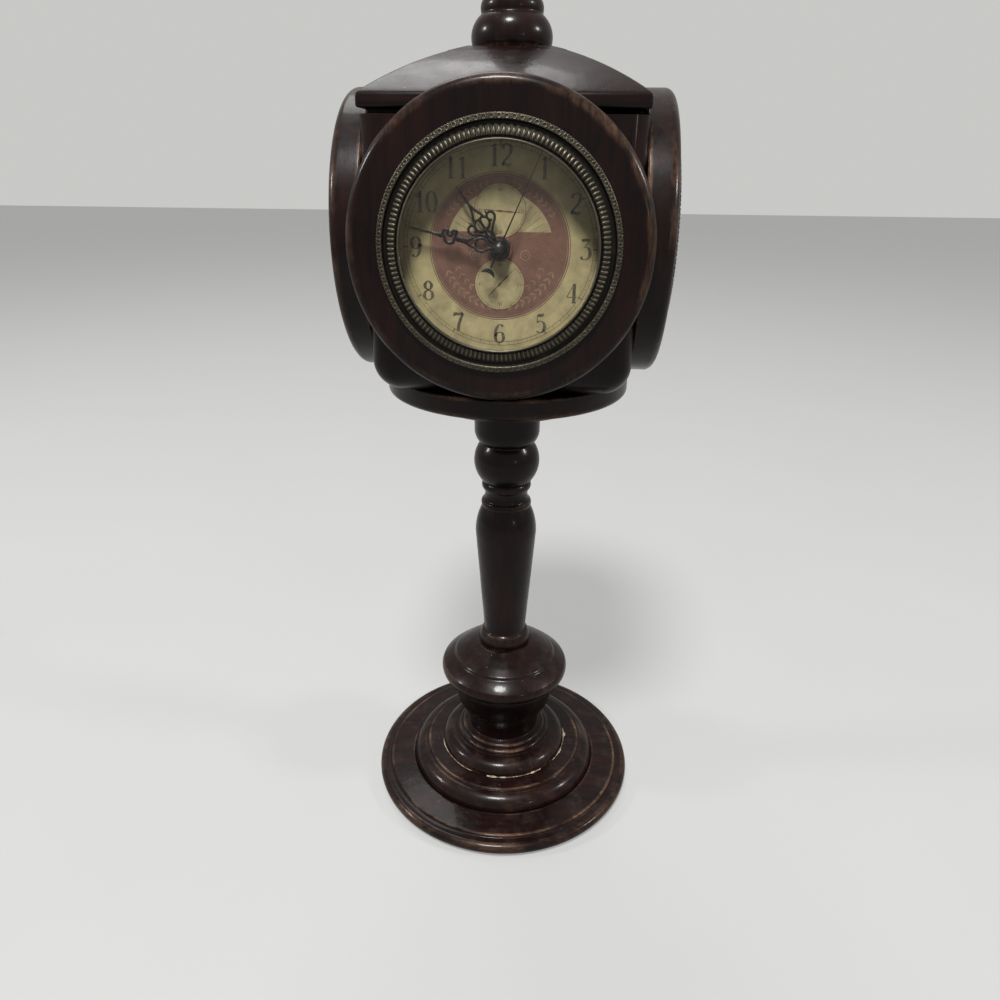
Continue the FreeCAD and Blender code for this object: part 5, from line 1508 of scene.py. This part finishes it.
class CLOCK_OT_inner_parts(Operator):
    """Finish what lies inside the stand and the head"""

    bl_idname = "clock.inner_parts"
    bl_label = "Inner parts"

    def execute(self, context):
        """Give each hidden solid the finish of its kind."""
        steel = metal_material("zinc_plate", (0.56, 0.57, 0.58))
        brass = metal_material("plain_brass", (0.78, 0.60, 0.28))
        moulded = enamel_material("black_moulding", (0.030, 0.030, 0.031), 0.42)
        rubber = enamel_material("band_rubber", (0.020, 0.020, 0.020), 0.75)
        sleeve = enamel_material("battery_sleeve", (0.20, 0.21, 0.22), 0.35)
        red = enamel_material("red_knob", (0.42, 0.035, 0.025), 0.28)
        beech = wood_material("beech_dowel", (1.0, 1.0, 0.09))
        felt = felt_material()
        finishes = {
            steel: ["base_screw", "plate_screws", "pivot_stud", "pivot_washer", "pivot_nut", "collar_screws"],
            brass: ["temperature_coil", "humidity_coil"],
            moulded: ["thrust_washer", "clock_movement", "moon_movement", *(f"{side}_can" for side in SIDES)],
            rubber: [f"{side}_band" for side in SIDES],
            sleeve: ["clock_battery", "moon_battery"],
            red: ["clock_knob", "moon_knob"],
            beech: ["column_dowel", "finial_dowel"],
            felt: ["base_felt"],
        }
        for material, nodes in finishes.items():
            for node in nodes:
                dress(node, material)
        return {"FINISHED"}


class CLOCK_OT_stage(Operator):
    """Make the floor, the lamps, the sky and the camera"""

    bl_idname = "clock.stage"
    bl_label = "Stage"

    def execute(self, context):
        """Set the scene as a plain studio."""
        look = context.scene.clock_stage
        self.floor(look)
        self.sky(context, look)
        self.lamps(look)
        self.camera(context, look)
        context.scene.view_settings.view_transform = "Standard"
        return {"FINISHED"}

    @staticmethod
    def floor(look):
        """A wide plain floor."""
        half = 6.0
        mesh = bmesh.new()
        corners = [(-half, -half, 0.0), (half, -half, 0.0), (half, half, 0.0), (-half, half, 0.0)]
        mesh.faces.new([mesh.verts.new(corner) for corner in corners])
        shader = Shader("floor_paper")
        tone = shader.mix(shader.noise(6, 3), look.floor_colour, FLOOR_PALE)
        shown = shader.ray(*SEEN_BY)
        shader.set(Base_Color=shader.mix(shown, look.floor_bounce, tone), Roughness=0.75,
                   Emission_Color=FLOOR_GLOW, Emission_Strength=shader.product(shown, look.floor_glow))
        finished("floor", mesh, UNMOVED, shader.material)

    @staticmethod
    def sky(context, look):
        """Even light from all round, pale where the camera sees it."""
        world = bpy.data.worlds.new("studio")
        world.use_nodes = True
        sky = Nodes(world.node_tree)
        lit = sky.out("ShaderNodeBackground", Color=SKY_TINT, Strength=look.sky)
        seen = sky.out("ShaderNodeBackground", Color=look.backdrop)
        sky.node("ShaderNodeOutputWorld", Surface=sky.either(sky.ray(*SEEN_BY), lit, seen))
        context.scene.world = world

    @staticmethod
    def lamps(look):
        """A ceiling lamp in front, a soft one behind, two weak side lamps and a small low one."""
        aim = Vector((0.0, 0.0, 0.30))
        lamps = {
            "ceiling_lamp": ((-0.18, -1.06, 2.30), 0.54, look.key_power),
            "left_lamp": ((-1.55, -0.20, 1.05), 0.24, look.fill_power),
            "right_lamp": ((1.55, -0.20, 1.05), 0.24, look.fill_power),
            "low_lamp": ((0.85, -1.25, 0.45), 0.07, look.low_power),
            "back_lamp": ((-0.40, 1.10, 2.10), 1.10, look.back_power),
        }
        for name, (place, size, power) in lamps.items():
            data = bpy.data.lights.new(name, "AREA")
            data.shape = "DISK"
            data.size = size
            data.energy = power
            lamp = placed(name, data)
            lamp.location = place
            lamp.rotation_euler = (aim - Vector(place)).to_track_quat("-Z", "Y").to_euler()

    @staticmethod
    def camera(context, look):
        """The camera at the photograph's angle."""
        data = bpy.data.cameras.new("camera")
        data.lens = look.lens
        data.sensor_width = 36.0
        data.clip_start = 0.01
        turn = look.camera_azimuth
        back = Vector((math.sin(turn), -math.cos(turn), 0.0))
        right = Vector((math.cos(turn), math.sin(turn), 0.0))
        camera = placed("camera", data)
        camera.location = back * look.camera_distance - right * look.side_step
        camera.location.z = look.camera_height
        facing = -back * math.cos(look.camera_pitch) - Vector((0, 0, math.sin(look.camera_pitch)))
        aimed = facing.to_track_quat("-Z", "Y").to_matrix().to_4x4()
        camera.rotation_euler = (aimed @ Matrix.Rotation(look.camera_roll, 4, "Z")).to_euler()
        context.scene.camera = camera


class CLOCK_PT_panel(Panel):
    """Buttons for each group of pieces"""

    bl_idname = "CLOCK_PT_panel"
    bl_label = "Revolving desk clock"
    bl_space_type = "VIEW_3D"
    bl_region_type = "UI"
    bl_category = "Clock"

    def draw(self, context):
        """List the operators and the settings."""
        for operator in OPERATORS:
            self.layout.operator(operator.bl_idname)
        for name, group in SETTINGS.items():
            box = self.layout.box()
            for key in group.__annotations__:
                box.prop(getattr(context.scene, name), key)


SETTINGS = {
    "clock_wood": ClockWoodSettings,
    "clock_metal": ClockMetalSettings,
    "clock_dial": ClockDialSettings,
    "clock_stage": ClockStageSettings,
}
OPERATORS = [
    CLOCK_OT_turned_wood,
    CLOCK_OT_glue_line,
    CLOCK_OT_boards,
    CLOCK_OT_case_and_roof,
    CLOCK_OT_bezels,
    CLOCK_OT_clock_dial,
    CLOCK_OT_moon_dial,
    CLOCK_OT_weather_dials,
    CLOCK_OT_hands_and_lenses,
    CLOCK_OT_inner_parts,
    CLOCK_OT_stage,
]


def register():
    """Make the settings, operators and panel known."""
    for name, group in SETTINGS.items():
        bpy.utils.register_class(group)
        setattr(bpy.types.Scene, name, PointerProperty(type=group))
    for operator in OPERATORS:
        bpy.utils.register_class(operator)
    bpy.utils.register_class(CLOCK_PT_panel)


def unregister():
    """Forget the panel, operators and settings."""
    bpy.utils.unregister_class(CLOCK_PT_panel)
    for operator in reversed(OPERATORS):
        bpy.utils.unregister_class(operator)
    for name, group in SETTINGS.items():
        delattr(bpy.types.Scene, name)
        bpy.utils.unregister_class(group)


def main():
    """Make every piece."""
    register()
    bpy.ops.clock.turned_wood()
    bpy.ops.clock.glue_line()
    bpy.ops.clock.boards()
    bpy.ops.clock.case_and_roof()
    bpy.ops.clock.bezels()
    bpy.ops.clock.clock_dial()
    bpy.ops.clock.moon_dial()
    bpy.ops.clock.weather_dials()
    bpy.ops.clock.hands_and_lenses()
    bpy.ops.clock.inner_parts()
    bpy.ops.clock.stage()
    bpy.context.view_layer.update()


if __name__ == "__main__":
    main()
